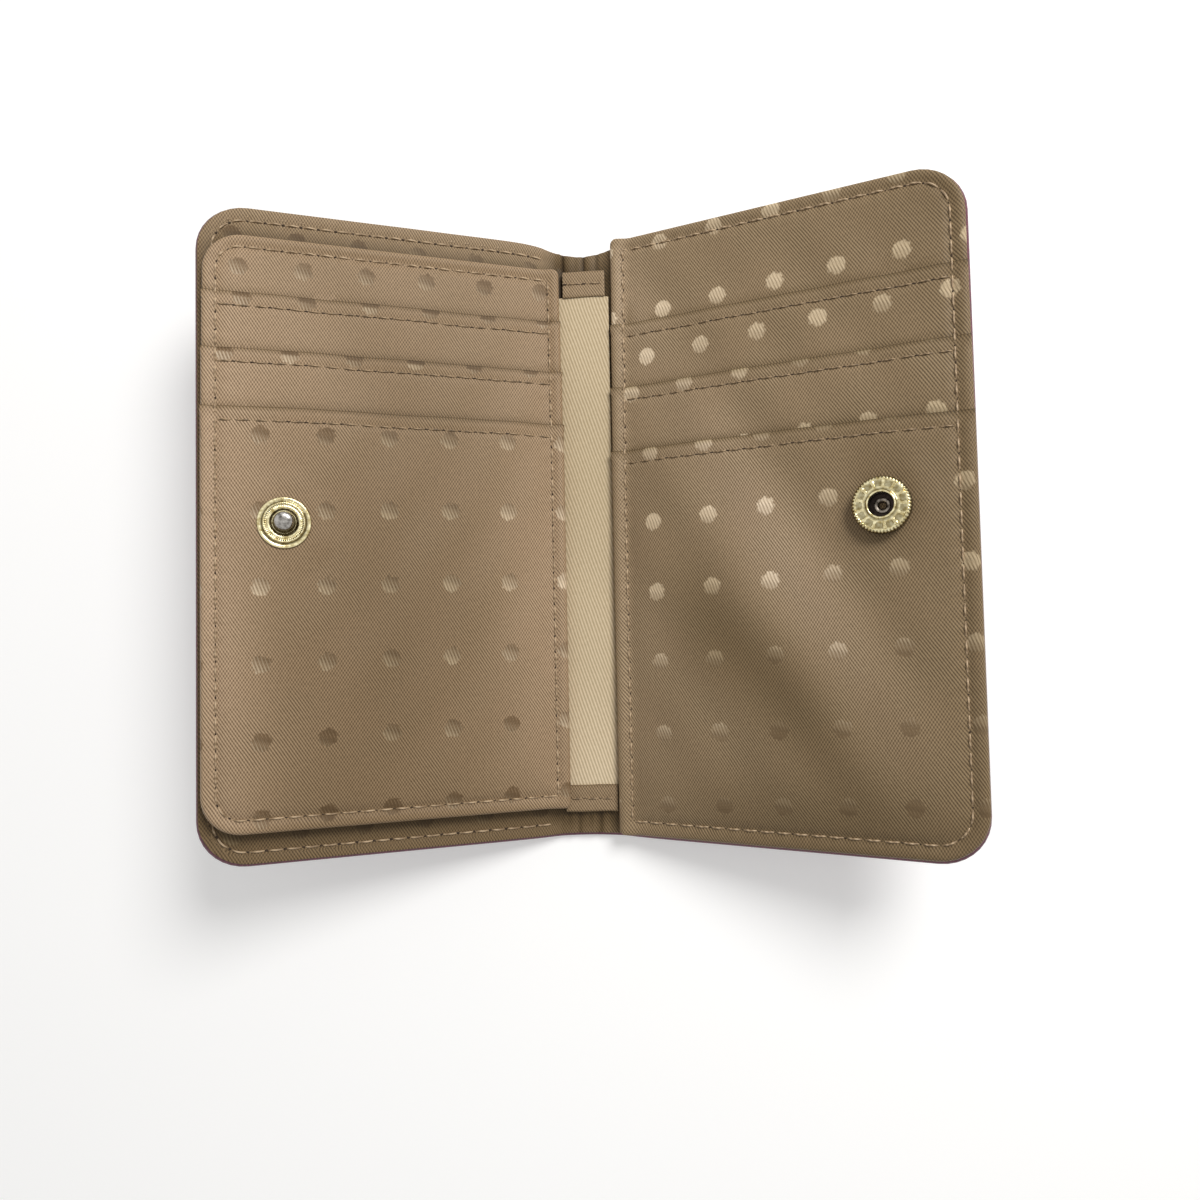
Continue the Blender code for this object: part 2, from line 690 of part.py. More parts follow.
def build_spine(materials):
    """Leather, pleated lining, and the twill strip with its two bindings."""
    half_width = HALF_SPINE - FOLD_REACH - FOLD_CLEARANCE
    outline = rounded_outline(RIGHT, -half_width, half_width, -HALF_HEIGHT, HALF_HEIGHT, 0, 0)
    plate("spine_leather", None, outline, (0, LEATHER_THICKNESS), materials["leather"], 0)
    lining_bottom = LEATHER_THICKNESS + LAYER_GAP
    end = HALF_HEIGHT - LINING_END_INSET
    profile = pleated_profile(half_width, lining_bottom, LINING_THICKNESS)
    band_along_spine("spine_lining", None, profile, -end, end, materials["fabric"])
    half_strip = STRIP_WIDTH / 2
    cover = BINDING_THICKNESS + LAYER_GAP
    strip = rounded_outline(
        RIGHT, -half_strip, half_strip, STRIP_BOTTOM + cover, STRIP_TOP - cover, 0, 0
    )
    strip_levels = (STRIP_HEIGHT, STRIP_HEIGHT + STRIP_THICKNESS)
    plate("spine_strip", None, strip, strip_levels, materials["twill"], 0)
    build_binding("strip_binding_top", STRIP_TOP, 1, materials["fabric"])
    build_binding("strip_binding_bottom", STRIP_BOTTOM, -1, materials["fabric"])


def build_hems(left_hinge, right_hinge, materials):
    """Turned inner edges of the page and of the panel, with their seams."""
    fabric = materials["fabric"]
    cotton = materials["thread"]
    build_hem(
        LEFT, "page_hem", left_hinge, PAGE_HEM_START, PAGE_HEM_HEIGHT, PAGE_HEM_THICKNESS,
        PAGE_BOTTOM, PAGE_TOP, fabric,
    )
    page_route = hem_seam_route(
        LEFT,
        PAGE_HEM_START + PAGE_SEAM_INSET,
        PAGE_TOP - PAGE_SEAM_INSET,
        PAGE_BOTTOM + PAGE_SEAM_INSET,
        PAGE_HEM_HEIGHT + PAGE_HEM_THICKNESS,
    )
    thread("page_hem_seam", left_hinge, page_route, cotton)
    build_hem(
        RIGHT, "panel_hem", right_hinge, PANEL_HEM_START, PANEL_HEM_HEIGHT,
        PANEL_HEM_THICKNESS, -HALF_HEIGHT, HALF_HEIGHT, fabric,
    )
    edge = HALF_HEIGHT - PANEL_SEAM_INSET
    panel_route = hem_seam_route(
        RIGHT, PANEL_HEM_SEAM, edge, -edge, PANEL_HEM_HEIGHT + PANEL_HEM_THICKNESS
    )
    thread("panel_hem_seam", right_hinge, panel_route, cotton)


def build_wallet():
    for old in list(bpy.data.objects):
        bpy.data.objects.remove(old)
    materials = {
        "leather": make_material("Berry leather", (0.110, 0.014, 0.032), 0.50),
        "board": make_material("Grey board", (0.30, 0.29, 0.27), 0.90),
        "fabric": make_material("Taupe lining fabric", (0.330, 0.240, 0.150), 0.65),
        "twill": make_material("Cream twill", (0.720, 0.620, 0.430), 0.85),
        "thread": make_material("Taupe thread", (0.260, 0.180, 0.105), 0.70),
        "brass": make_material("Pale gold plating", (0.830, 0.680, 0.360), 0.25, 1.0),
        "steel": make_material("Nickel plating", (0.620, 0.600, 0.570), 0.22, 1.0),
    }
    left_hinge = add_hinge("left_fold_axis", LEFT)
    right_hinge = add_hinge("right_fold_axis", RIGHT)
    build_spine(materials)
    build_folds(LEFT, "left", materials["leather"], materials["fabric"])
    build_folds(RIGHT, "right", materials["leather"], materials["fabric"])
    build_hems(left_hinge, right_hinge, materials)
    build_left_leaf(left_hinge, materials)
    build_right_leaf(right_hinge, materials)


build_wallet()
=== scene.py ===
# %% [markdown]
# A small bifold wallet, open on its spine
#
# This lesson dresses the imported CAD model of a wallet with the cloth, leather, thread and metal
# that the eye expects. The frame is loaded first, because every piece is placed from its sizes, and
# some pieces ride on its bodies. Lengths are in metres, as they are in the frame.

# %% Load the imported model
import math

import bmesh
import bpy
import numpy as np
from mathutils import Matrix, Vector


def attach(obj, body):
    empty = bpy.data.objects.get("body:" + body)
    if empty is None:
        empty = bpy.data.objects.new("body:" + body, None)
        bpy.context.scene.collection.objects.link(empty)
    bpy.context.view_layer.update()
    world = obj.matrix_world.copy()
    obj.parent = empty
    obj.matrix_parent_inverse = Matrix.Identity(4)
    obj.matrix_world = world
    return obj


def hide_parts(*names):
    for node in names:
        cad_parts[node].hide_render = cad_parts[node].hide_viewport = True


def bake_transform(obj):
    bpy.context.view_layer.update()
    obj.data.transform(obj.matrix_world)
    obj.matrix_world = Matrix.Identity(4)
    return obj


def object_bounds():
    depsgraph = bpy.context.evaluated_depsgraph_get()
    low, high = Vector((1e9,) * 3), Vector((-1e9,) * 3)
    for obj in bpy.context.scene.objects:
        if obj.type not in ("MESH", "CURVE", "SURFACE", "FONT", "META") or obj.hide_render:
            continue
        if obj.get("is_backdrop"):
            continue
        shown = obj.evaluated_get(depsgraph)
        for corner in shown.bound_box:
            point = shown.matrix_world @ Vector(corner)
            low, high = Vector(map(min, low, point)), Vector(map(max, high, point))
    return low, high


MM_PER_M = 1000

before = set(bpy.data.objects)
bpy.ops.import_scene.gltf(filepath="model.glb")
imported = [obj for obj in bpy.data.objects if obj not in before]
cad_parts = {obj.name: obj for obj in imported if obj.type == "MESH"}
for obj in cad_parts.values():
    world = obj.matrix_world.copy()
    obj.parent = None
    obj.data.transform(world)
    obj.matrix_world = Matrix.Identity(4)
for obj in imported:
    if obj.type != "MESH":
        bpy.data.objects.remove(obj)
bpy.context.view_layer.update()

# %% [markdown]
# The camera
#
# The picture is taken from about 16 cm above the wallet, nearly straight down and slightly turned.
# Such a short distance is what makes the near leaf edges look larger. A focal length is only
# meaningful together with a sensor width, so both are set.

# %% Place the camera
SENSOR_WIDTH_MM = 36.0
FOCAL_LENGTH_MM = 25.825
CAMERA_PLACE = (0.0126222, -0.0190413, 0.1624752)
CAMERA_TURN_DEGREES = (2.34288, 3.77013, -1.20476)
NEAREST_SEEN = 0.005


def add_camera():
    data = bpy.data.cameras.new("camera")
    data.sensor_width = SENSOR_WIDTH_MM
    data.lens = FOCAL_LENGTH_MM
    data.clip_start = NEAREST_SEEN
    camera = bpy.data.objects.new("camera", data)
    camera.location = CAMERA_PLACE
    camera.rotation_euler = [math.radians(turn) for turn in CAMERA_TURN_DEGREES]
    bpy.context.scene.collection.objects.link(camera)
    bpy.context.scene.camera = camera
    return camera


add_camera()
print("camera", FOCAL_LENGTH_MM, "mm, at", CAMERA_PLACE)

# %% [markdown]
# Colours and nodes
#
# Colours are written as the hex values that a paint or web palette gives, which are sRGB. Shaders
# work with linear light, so one function converts them. A second small function adds a shader node
# with its settings and its links, so that each material below reads as a list of steps.

# %% Helpers for colours and nodes
SRGB_TOE = 0.04045
SRGB_TOE_SLOPE = 12.92
SRGB_OFFSET = 0.055
SRGB_POWER = 2.4


def linear(hex_colour):
    levels = [int(hex_colour[i : i + 2], 16) / 255 for i in (1, 3, 5)]
    return tuple(
        level / SRGB_TOE_SLOPE
        if level <= SRGB_TOE
        else ((level + SRGB_OFFSET) / (1 + SRGB_OFFSET)) ** SRGB_POWER
        for level in levels
    ) + (1.0,)


def add(tree, kind, links=(), **settings):
    """Adds a node. links gives what feeds its inputs, in their order or by name or number."""
    node = tree.nodes.new("ShaderNode" + kind)
    for name, value in settings.items():
        setattr(node, name, value)
    feeds = links.items() if isinstance(links, dict) else enumerate(links)
    for key, value in feeds:
        if isinstance(value, bpy.types.NodeSocket):
            tree.links.new(value, node.inputs[key])
        else:
            node.inputs[key].default_value = value
    return node


def new_material(name, **settings):
    """A Principled material with the settings that are the same all over it."""
    material = bpy.data.materials.new(name)
    material.use_nodes = True
    shader = material.node_tree.nodes["Principled BSDF"]
    for key, value in settings.items():
        shader.inputs[key.replace("_", " ")].default_value = value
    return material, material.node_tree, shader


print("brick red in linear light:", [round(level, 3) for level in linear("#8C3B2E")])

# %% [markdown]
# Lining cloth with woven dots
#
# The inside is polyester jacquard: a fine twill ground of satin yarn, with round spots where the
# yarn floats in the other direction. Up close the twill shows as steep ribs, and a spot looks
# lighter or darker than the ground, depending on how its floats catch the light. The real ribs are
# about 0.35 mm apart, which is finer than a pixel or two of the picture, so they are drawn a little
# coarser. Each piece of cloth carries two attributes. "cloth" says where each of its points was on
# the flat cloth, so the pattern stays with the cloth when it bends. The other one carries painted
# light: how light the spots are painted there, how much painted shade and sheen the cloth has, and
# how warm its colour is. The ground and the spots are woven by two functions, and a third one joins
# them into the material.

# %% Weave the lining cloth
WARM_LIGHT = "#C4A582"
WARM_DARK = "#4D3922"
COOL_LIGHT = "#BAA17E"
COOL_DARK = "#4A3925"
SPOT_LIGHT = "#DEC8A7"
PAGE_SPOT_DARK = "#6D563B"
PANEL_SPOT_DARK = "#7E684D"
WARMTH_PATCHES = 0.12
PATCH_LEVELS = (0.35, 0.65)
SHADE_POWERS = (1.0, 1.08, 1.35)
RIB_SPACING = 0.00043
RIB_SLOPE = math.radians(57.0)
CROSS_RIB_LEVELS = (0.38, 0.6)
CROSS_RIB_SHARES = (0.12, 0.5)
SPOT_RADIUS = 0.00150
SPOT_SPACING_ACROSS = 0.01045
SPOT_SPACING_ALONG = 0.01270
SPOT_EDGE = 0.00016
SPOT_RAGGEDNESS = 0.0013
FLOAT_SPACING = 0.00052
FLOAT_SLOPE = math.radians(70.0)
FLOAT_CONTRAST = 0.5
FLOAT_LEVELS = (0.05, 0.5)
FLOAT_COVER_SHARES = (0.55, 1.0)
LIT_BELOW = (-0.5, -0.87, 0.0)
LIT_ABOVE = (0.2, 0.98, 0.0)
SPOT_EDGE_LIGHT = 0.30
YARN_GRAIN_SIZE = 0.0007
YARN_GRAIN_SHARE = 0.22
PATCH_SIZE = 0.011
PLAIN_DETAIL = 2.0
SOME_DETAIL = 3.0
FINE_DETAIL = 4.0
RIB_HEIGHT = 0.00005
RIB_STRENGTH = 0.6


def wave(tree, u, v, spacing, slope, bend=None):
    """A cosine of ribs that fall to the right at the given slope, from 0 to 1."""
    turns_u = math.sin(slope) / spacing
    turns_v = math.cos(slope) / spacing
    part_u = add(tree, "Math", [u, turns_u], operation="MULTIPLY")
    part_v = add(tree, "Math", [v, turns_v, part_u.outputs[0]], operation="MULTIPLY_ADD")
    turns = part_v.outputs[0]
    if bend is not None:
        turns = add(tree, "Math", [turns, bend], operation="ADD").outputs[0]
    angle = add(tree, "Math", [turns, math.tau], operation="MULTIPLY")
    cosine = add(tree, "Math", [angle.outputs[0]], operation="COSINE")
    half = add(tree, "Math", [cosine.outputs[0], 0.5, 0.5], operation="MULTIPLY_ADD")
    return half.outputs[0]


def read_cloth(tree):
    """The place on the flat cloth, its two parts, and the painted spot light, shade and warmth."""
    place = add(tree, "Attribute", attribute_name="cloth")
    parts = add(tree, "SeparateXYZ", [place.outputs["Vector"]])
    spot_light_shade_warmth = add(tree, "Attribute", attribute_name="spot_light_shade_warmth")
    spot_light_shade_warmth_parts = add(tree, "SeparateXYZ", [spot_light_shade_warmth.outputs["Vector"]])
    return place.outputs["Vector"], parts.outputs[:2], spot_light_shade_warmth_parts.outputs[:3]


def paint(tree, shader, colour, shade):
    """Puts a colour on the shader, darkened or lightened by the cloth's shade.

    Folds of cloth colour their own shade, so blue and green fall off faster than red does.
    """
    powers = [
        add(tree, "Math", [shade, power], operation="POWER").outputs[0] for power in SHADE_POWERS
    ]
    deep = add(tree, "CombineXYZ", powers)
    shaded = add(tree, "VectorMath", [colour, deep.outputs[0]], operation="MULTIPLY")
    tree.links.new(shaded.outputs[0], shader.inputs["Base Color"])


def weave_ground(tree, u, v, warmth, patches, grain):
    """The ribs of the ground, and its colour, which is warmer in some patches than in others."""
    ribs = wave(tree, u, v, RIB_SPACING, RIB_SLOPE, patches)
    cross = wave(tree, u, v, RIB_SPACING, -RIB_SLOPE)
    crossing = add(tree, "MapRange", [patches, *CROSS_RIB_LEVELS, *CROSS_RIB_SHARES])
    weave = add(tree, "Mix", {0: crossing.outputs[0], 2: ribs, 3: cross}, data_type="FLOAT")
    yarn = add(
        tree, "Mix", {0: YARN_GRAIN_SHARE, 2: weave.outputs[0], 3: grain}, data_type="FLOAT"
    )
    cool, warm = [
        add(tree, "Mix", {0: yarn.outputs[0], 6: linear(dark), 7: linear(light)}, data_type="RGBA")
        for dark, light in ((COOL_DARK, COOL_LIGHT), (WARM_DARK, WARM_LIGHT))
    ]
    patchy = add(tree, "MapRange", [patches, *PATCH_LEVELS, -WARMTH_PATCHES, WARMTH_PATCHES])
    warmer = add(tree, "Math", [patchy.outputs[0], warmth], operation="ADD", use_clamp=True)
    colour = add(
        tree, "Mix", {0: warmer.outputs[0], 6: cool.outputs[2], 7: warm.outputs[2]},
        data_type="RGBA",
    )
    return weave.outputs[0], colour.outputs[2]


def weave_spots(tree, u, v, tone, patches, grain, spot_dark, lit_from):
    """How much of a spot covers each place, and the spot's colour there."""
    offsets = []
    for part, spacing in ((u, SPOT_SPACING_ACROSS), (v, SPOT_SPACING_ALONG)):
        cell = add(tree, "Math", [part, 1 / spacing], operation="MULTIPLY")
        number = add(tree, "Math", [cell.outputs[0]], operation="ROUND")
        rest = add(tree, "Math", [cell.outputs[0], number.outputs[0]], operation="SUBTRACT")
        offset = add(tree, "Math", [rest.outputs[0], spacing], operation="MULTIPLY")
        offsets.append(offset.outputs[0])
    away = add(tree, "CombineXYZ", offsets)
    distance = add(tree, "VectorMath", [away.outputs[0]], operation="LENGTH")
    ragged = add(
        tree, "Math", [grain, SPOT_RAGGEDNESS, distance.outputs["Value"]],
        operation="MULTIPLY_ADD",
    )
    edge = SPOT_RADIUS + SPOT_RAGGEDNESS / 2
    edge_levels = (edge - SPOT_EDGE, edge + SPOT_EDGE)
    inside = add(tree, "MapRange", [ragged.outputs[0], *edge_levels, 1.0, 0.0])
    floats = wave(tree, u, v, FLOAT_SPACING, FLOAT_SLOPE, patches)
    striped = add(tree, "MapRange", [floats, *FLOAT_LEVELS, *FLOAT_COVER_SHARES])
    cover = add(tree, "Math", [inside.outputs[0], striped.outputs[0]], operation="MULTIPLY")
    facing = add(tree, "VectorMath", [away.outputs[0], lit_from], operation="DOT_PRODUCT")
    lit = add(
        tree, "Math", [facing.outputs["Value"], SPOT_EDGE_LIGHT / SPOT_RADIUS, tone],
        operation="MULTIPLY_ADD",
    )
    yarns = add(tree, "Math", [floats, FLOAT_CONTRAST, lit.outputs[0]], operation="MULTIPLY_ADD")
    yarn_levels = (FLOAT_CONTRAST / 2, 1 + FLOAT_CONTRAST / 2)
    light = add(tree, "MapRange", [yarns.outputs[0], *yarn_levels, 0.0, 1.0])
    colour = add(
        tree, "Mix", {0: light.outputs[0], 6: linear(spot_dark), 7: linear(SPOT_LIGHT)},
        data_type="RGBA",
    )
    return cover.outputs[0], colour.outputs[2]


def make_lining_cloth(name, spot_dark, lit_from):
    material, tree, shader = new_material(
        name, Roughness=0.55, Specular_IOR_Level=0.25, Sheen_Weight=0.03, Sheen_Roughness=0.4,
        IOR=1.46,
    )
    cloth, (u, v), (tone, shade, warmth) = read_cloth(tree)
    patches, grain = [
        add(tree, "TexNoise", {"Vector": cloth, "Scale": 1 / size, "Detail": detail}).outputs[0]
        for size, detail in ((PATCH_SIZE, SOME_DETAIL), (YARN_GRAIN_SIZE, PLAIN_DETAIL))
    ]
    weave, ground = weave_ground(tree, u, v, warmth, patches, grain)
    cover, spots = weave_spots(tree, u, v, tone, patches, grain, spot_dark, lit_from)
    colour = add(tree, "Mix", {0: cover, 6: ground, 7: spots}, data_type="RGBA")
    paint(tree, shader, colour.outputs[2], shade)
    bump = add(tree, "Bump", {"Height": weave, "Distance": RIB_HEIGHT, "Strength": RIB_STRENGTH})
    tree.links.new(bump.outputs[0], shader.inputs["Normal"])
    return material


lining_cloth = make_lining_cloth("Jacquard lining, spots lit from below", PAGE_SPOT_DARK, LIT_BELOW)
panel_cloth = make_lining_cloth("Jacquard lining, spots lit from above", PANEL_SPOT_DARK, LIT_ABOVE)
CLOTHS = {"page": lining_cloth, "panel": panel_cloth}
print(lining_cloth.name, "ribs every", RIB_SPACING * MM_PER_M, "mm")

# %% [markdown]
# Cream twill, sewing thread and leather
#
# The strip down the spine is undyed cotton twill: matt, with coarse ribs about 0.57 mm apart. The
# thread is twisted polyester, so its ply shows as fine slanting stripes. The outside is berry
# coloured leather with an embossed cross grain, which is a plastic-coated split: slightly glossy,
# with its grain pressed in by a plate.

# %% Weave the twill, spin the thread and tan the leather
TWILL_LIGHT = "#F0DCBA"
TWILL_DARK = "#B09A76"
TWILL_SPACING = 0.00057
TWILL_SLOPE = math.radians(71.0)
TWILL_HEIGHT = 0.00008
TWILL_STRENGTH = 0.7
TWILL_GRAIN_SHARE = 0.35
THREAD_LIGHT = "#C0A684"
THREAD_DARK = "#8A7152"
# The hem thread is the same thread painted darker: painted shade, since the rows across the parts
# catch less light than the rows up their sides.
SHADED_HEM_THREAD_LIGHT = "#A58B69"
SHADED_HEM_THREAD_DARK = "#6B563B"
PLY_SPACING = 0.00035
PLY_WAVER = 0.4
PLY_STRENGTH = 0.5
LEATHER_LIGHT = "#7B2A44"
LEATHER_DARK = "#4A1527"
LEATHER_THREAD = "#6B2038"
GRAIN_SPACING = 0.0009
GRAIN_SLOPE = math.radians(50.0)
GRAIN_NOISE_SHARE = 0.35
GRAIN_DEPTH = 0.00006
GRAIN_STRENGTH = 0.8
BOARD_GREY = "#8C8880"
HOLE_COLOUR = "#3E2E1E"
MOTTLE_SHARES = (0.8, 1.2)


def make_twill():
    material, tree, shader = new_material("Undyed cotton twill", Roughness=0.85, IOR=1.5)
    cloth, (u, v), (_, shade, _) = read_cloth(tree)
    grain, patches = [
        add(tree, "TexNoise", {"Vector": cloth, "Scale": 1 / size, "Detail": detail}).outputs[0]
        for size, detail in ((YARN_GRAIN_SIZE, SOME_DETAIL), (PATCH_SIZE, PLAIN_DETAIL))
    ]
    ribs = wave(tree, u, v, TWILL_SPACING, TWILL_SLOPE, patches)
    yarn = add(tree, "Mix", {0: TWILL_GRAIN_SHARE, 2: ribs, 3: grain}, data_type="FLOAT").outputs[0]
    colour = add(
        tree, "Mix", {0: yarn, 6: linear(TWILL_DARK), 7: linear(TWILL_LIGHT)}, data_type="RGBA"
    )
    paint(tree, shader, colour.outputs[2], shade)
    bump = add(
        tree, "Bump", {"Height": yarn, "Distance": TWILL_HEIGHT, "Strength": TWILL_STRENGTH}
    )
    tree.links.new(bump.outputs[0], shader.inputs["Normal"])
    return material


def make_thread(name, light, dark):
    material, tree, shader = new_material(name, Roughness=0.5, Sheen_Weight=0.15, IOR=1.5)
    place = add(tree, "TexCoord").outputs["Object"]
    scale = 1 / PLY_SPACING / math.tau
    twist = add(
        tree, "TexWave", {"Vector": place, "Scale": scale, "Distortion": PLY_WAVER},
        bands_direction="DIAGONAL",
    ).outputs[1]
    colour = add(tree, "Mix", {0: twist, 6: linear(dark), 7: linear(light)}, data_type="RGBA")
    tree.links.new(colour.outputs[2], shader.inputs["Base Color"])
    bump = add(tree, "Bump", {"Height": twist, "Distance": RIB_HEIGHT, "Strength": PLY_STRENGTH})
    tree.links.new(bump.outputs[0], shader.inputs["Normal"])
    return material


def make_leather():
    material, tree, shader = new_material(
        "Berry leather with a cross grain", Roughness=0.42, Coat_Weight=0.15, IOR=1.5
    )
    cloth, (u, v), _ = read_cloth(tree)
    patches = add(
        tree, "TexNoise", {"Vector": cloth, "Scale": 1 / GRAIN_SPACING, "Detail": FINE_DETAIL}
    ).outputs[0]
    falling, rising = [
        wave(tree, u, v, GRAIN_SPACING, slope, patches) for slope in (GRAIN_SLOPE, -GRAIN_SLOPE)
    ]
    both = add(tree, "Math", [falling, rising], operation="MULTIPLY")
    grain = add(
        tree, "Mix", {0: GRAIN_NOISE_SHARE, 2: both.outputs[0], 3: patches}, data_type="FLOAT"
    ).outputs[0]
    colour = add(
        tree, "Mix", {0: grain, 6: linear(LEATHER_DARK), 7: linear(LEATHER_LIGHT)},
        data_type="RGBA",
    )
    tree.links.new(colour.outputs[2], shader.inputs["Base Color"])
    bump = add(
        tree, "Bump", {"Height": grain, "Distance": GRAIN_DEPTH, "Strength": GRAIN_STRENGTH}
    )
    tree.links.new(bump.outputs[0], shader.inputs["Normal"])
    return material


def make_mottled(name, hex_colour, size, **settings):
    """A plain material whose colour wanders a little, for hidden board and needle holes."""
    material, tree, shader = new_material(name, **settings)
    place = add(tree, "TexCoord")
    spots = add(tree, "TexNoise", {"Vector": place.outputs["Object"], "Scale": 1 / size})
    level = add(tree, "MapRange", [spots.outputs[0], 0.0, 1.0, *MOTTLE_SHARES])
    colour = add(
        tree, "VectorMath", [linear(hex_colour)[:3], level.outputs[0]], operation="MULTIPLY"
    )
    tree.links.new(colour.outputs[0], shader.inputs["Base Color"])
    return material


cream_twill = make_twill()
taupe_thread = make_thread("Twisted polyester thread", THREAD_LIGHT, THREAD_DARK)
shaded_hem_thread = make_thread("Hem thread, painted darker as shade", SHADED_HEM_THREAD_LIGHT, SHADED_HEM_THREAD_DARK)
berry_thread = make_thread("Berry polyester thread", LEATHER_THREAD, LEATHER_DARK)
berry_leather = make_leather()
grey_board = make_mottled("Grey millboard", BOARD_GREY, PATCH_SIZE, Roughness=0.9)
needle_hole = make_mottled("Shade in a needle hole", HOLE_COLOUR, YARN_GRAIN_SIZE, Roughness=0.9)
print("made", len(bpy.data.materials), "materials")

# %% [markdown]
# Plated metal
#
# The ring snap is stamped brass with a thin pale gold plating, and its post is nickel plated. The
# eyelet and the inside of the socket are steel, duller and darker, and the inside of the socket is
# painted darker still, as shade. All are full metals, so their colour is in the reflection. A little
# noise in the roughness breaks up the reflections, as handling does. Stamped grooves and hollows are
# drawn darker, partly for the polish and grime they hold and partly as painted shade, so a "groove"
# attribute says where the metal is dark.

# %% Plate the snap
GOLD_LIGHT = "#F0E6BC"
GOLD_DARK = "#A8945C"
NICKEL_LIGHT = "#B4B0AA"
NICKEL_DARK = "#5A5550"
STEEL_LIGHT = "#9C9288"
STEEL_DARK = "#3A342E"
# The steel inside the socket is painted nearly black: painted shade, for the shade in the socket.
SOCKET_SHADE_LIGHT = "#3C332F"
SOCKET_SHADE_DARK = "#1A1412"
GROOVE_DARK = "#3B2F18"
GROOVE_SHADE = 0.88
SCUFF_SIZE = 0.0006
SCUFF_DEPTH = 0.00001
SCUFF_STRENGTH = 0.4
TARNISH_LEVELS = (0.3, 0.65)
WEAR_LEVELS = (0.35, 0.7)
GOLD_ROUGHNESS = (0.14, 0.28)
NICKEL_ROUGHNESS = (0.10, 0.22)
STEEL_ROUGHNESS = (0.25, 0.4)
FLOOR_ROUGHNESS = (0.35, 0.5)


def make_plating(name, light, dark, roughness):
    """roughness gives the plating's value where it is smooth and where it is worn."""
    material, tree, shader = new_material(name, Metallic=1.0)
    place = add(tree, "TexCoord").outputs["Object"]
    scuffs = add(
        tree, "TexNoise", {"Vector": place, "Scale": 1 / SCUFF_SIZE, "Detail": FINE_DETAIL}
    ).outputs[0]
    tarnish = add(tree, "MapRange", [scuffs, *TARNISH_LEVELS, 0.0, 1.0])
    plated = add(
        tree, "Mix", {0: tarnish.outputs[0], 6: linear(dark), 7: linear(light)}, data_type="RGBA"
    )
    # The groove attribute darkens teeth, gaps between bars and hollows: partly grime, partly painted
    # shade.
    groove = add(tree, "Attribute", attribute_name="groove")
    groove_grime_and_shade = add(tree, "Math", [groove.outputs["Fac"], GROOVE_SHADE], operation="MULTIPLY")
    colour = add(
        tree, "Mix", {0: groove_grime_and_shade.outputs[0], 6: plated.outputs[2], 7: linear(GROOVE_DARK)},
        data_type="RGBA",
    )
    tree.links.new(colour.outputs[2], shader.inputs["Base Color"])
    rough = add(tree, "MapRange", [scuffs, *WEAR_LEVELS, *roughness])
    tree.links.new(rough.outputs[0], shader.inputs["Roughness"])
    bump = add(
        tree, "Bump", {"Height": scuffs, "Distance": SCUFF_DEPTH, "Strength": SCUFF_STRENGTH}
    )
    tree.links.new(bump.outputs[0], shader.inputs["Normal"])
    return material


pale_gold = make_plating("Pale gold plating on brass", GOLD_LIGHT, GOLD_DARK, GOLD_ROUGHNESS)
nickel = make_plating("Nickel plating", NICKEL_LIGHT, NICKEL_DARK, NICKEL_ROUGHNESS)
dull_steel = make_plating("Dull steel of the eyelet", STEEL_LIGHT, STEEL_DARK, STEEL_ROUGHNESS)
socket_steel_in_painted_shade = make_plating("Dark steel inside the socket", SOCKET_SHADE_LIGHT, SOCKET_SHADE_DARK, FLOOR_ROUGHNESS)
print("made", pale_gold.name, "and", nickel.name)

# %% [markdown]
# From flat cloth to the folded rest pose
#
# Every piece is worked out flat, as a maker cuts it, and then placed. A point has a distance across
# the wallet, a distance along the spine, and a height above the middle of the leather. A leaf is a
# flat plane at 22 degrees, and the cover's cloth runs over an arc between the spine and the leaf.

# %% Place points on a leaf or on the cover
LEFT = -1
RIGHT = 1
REST_ANGLE = math.radians(22.0)
HALF_SPINE = 0.007
AXIS_HEIGHT = 0.0005
LEAF_WIDTH = 0.0615
HALF_HEIGHT = 0.056
COVER_CORNER = 0.008
FOLD_REACH = 0.0015
FOLD_RADIUS = FOLD_REACH / math.tan(REST_ANGLE / 2)
FOLD_LENGTH = FOLD_RADIUS * REST_ANGLE
FLAT_HALF = HALF_SPINE - FOLD_REACH
LEAF_START = FLAT_HALF + FOLD_LENGTH - FOLD_REACH
COVER_REACH = LEAF_START + LEAF_WIDTH


def on_leaf(side, across, along, height):
    """Across is the distance from the leaf's hinge."""
    cosine, sine = math.cos(REST_ANGLE), math.sin(REST_ANGLE)
    x = side * (HALF_SPINE + across * cosine - height * sine)
    return np.stack([x, along + 0 * x, AXIS_HEIGHT + across * sine + height * cosine], axis=-1)


def on_cover(across, along, height):
    """Across is the signed distance from the middle of the spine, measured on the cloth."""
    reach = np.abs(across)
    turn = np.clip((reach - FLAT_HALF) / FOLD_RADIUS, 0, REST_ANGLE)
    beyond = np.maximum(reach - FLAT_HALF - FOLD_LENGTH, 0)
    radius = FOLD_RADIUS - height
    x = np.minimum(reach, FLAT_HALF) + radius * np.sin(turn) + beyond * np.cos(turn)
    z = AXIS_HEIGHT + FOLD_RADIUS - radius * np.cos(turn) + beyond * np.sin(turn)
    return np.stack([np.where(across < 0, -x, x), along + 0 * x, z], axis=-1)


def fade(value, start, end):
    """0 before start and 1 after end, with a smooth change between them."""
    share = np.clip((value - start) / (end - start), 0, 1)
    return share * share * (3 - 2 * share)


def bell(value, width):
    return np.exp(-((value / width) ** 2))


far_corner = on_cover(np.array(COVER_REACH), np.array(HALF_HEIGHT), np.array(0.0))
print("the cover's far corner is at", [round(float(c) * MM_PER_M, 1) for c in far_corner], "mm")

# %% [markdown]
# Outlines and seams
#
# A wallet part is a rectangle with rounded corners. Its mesh is made of rings, each a little
# further in than the last, because then the rounded edge and the row of stitches both follow a
# ring. A seam is kept as a line of close points with the distance run along it, so that puckers
# and stitches agree.

# %% Draw rings and seams
CORE_INSET = 0.008
CORNER_STEPS = 9
LINE_STEP = 0.0003
STITCH_LENGTH = 0.0029
NEAREST_BLOCK = 4000


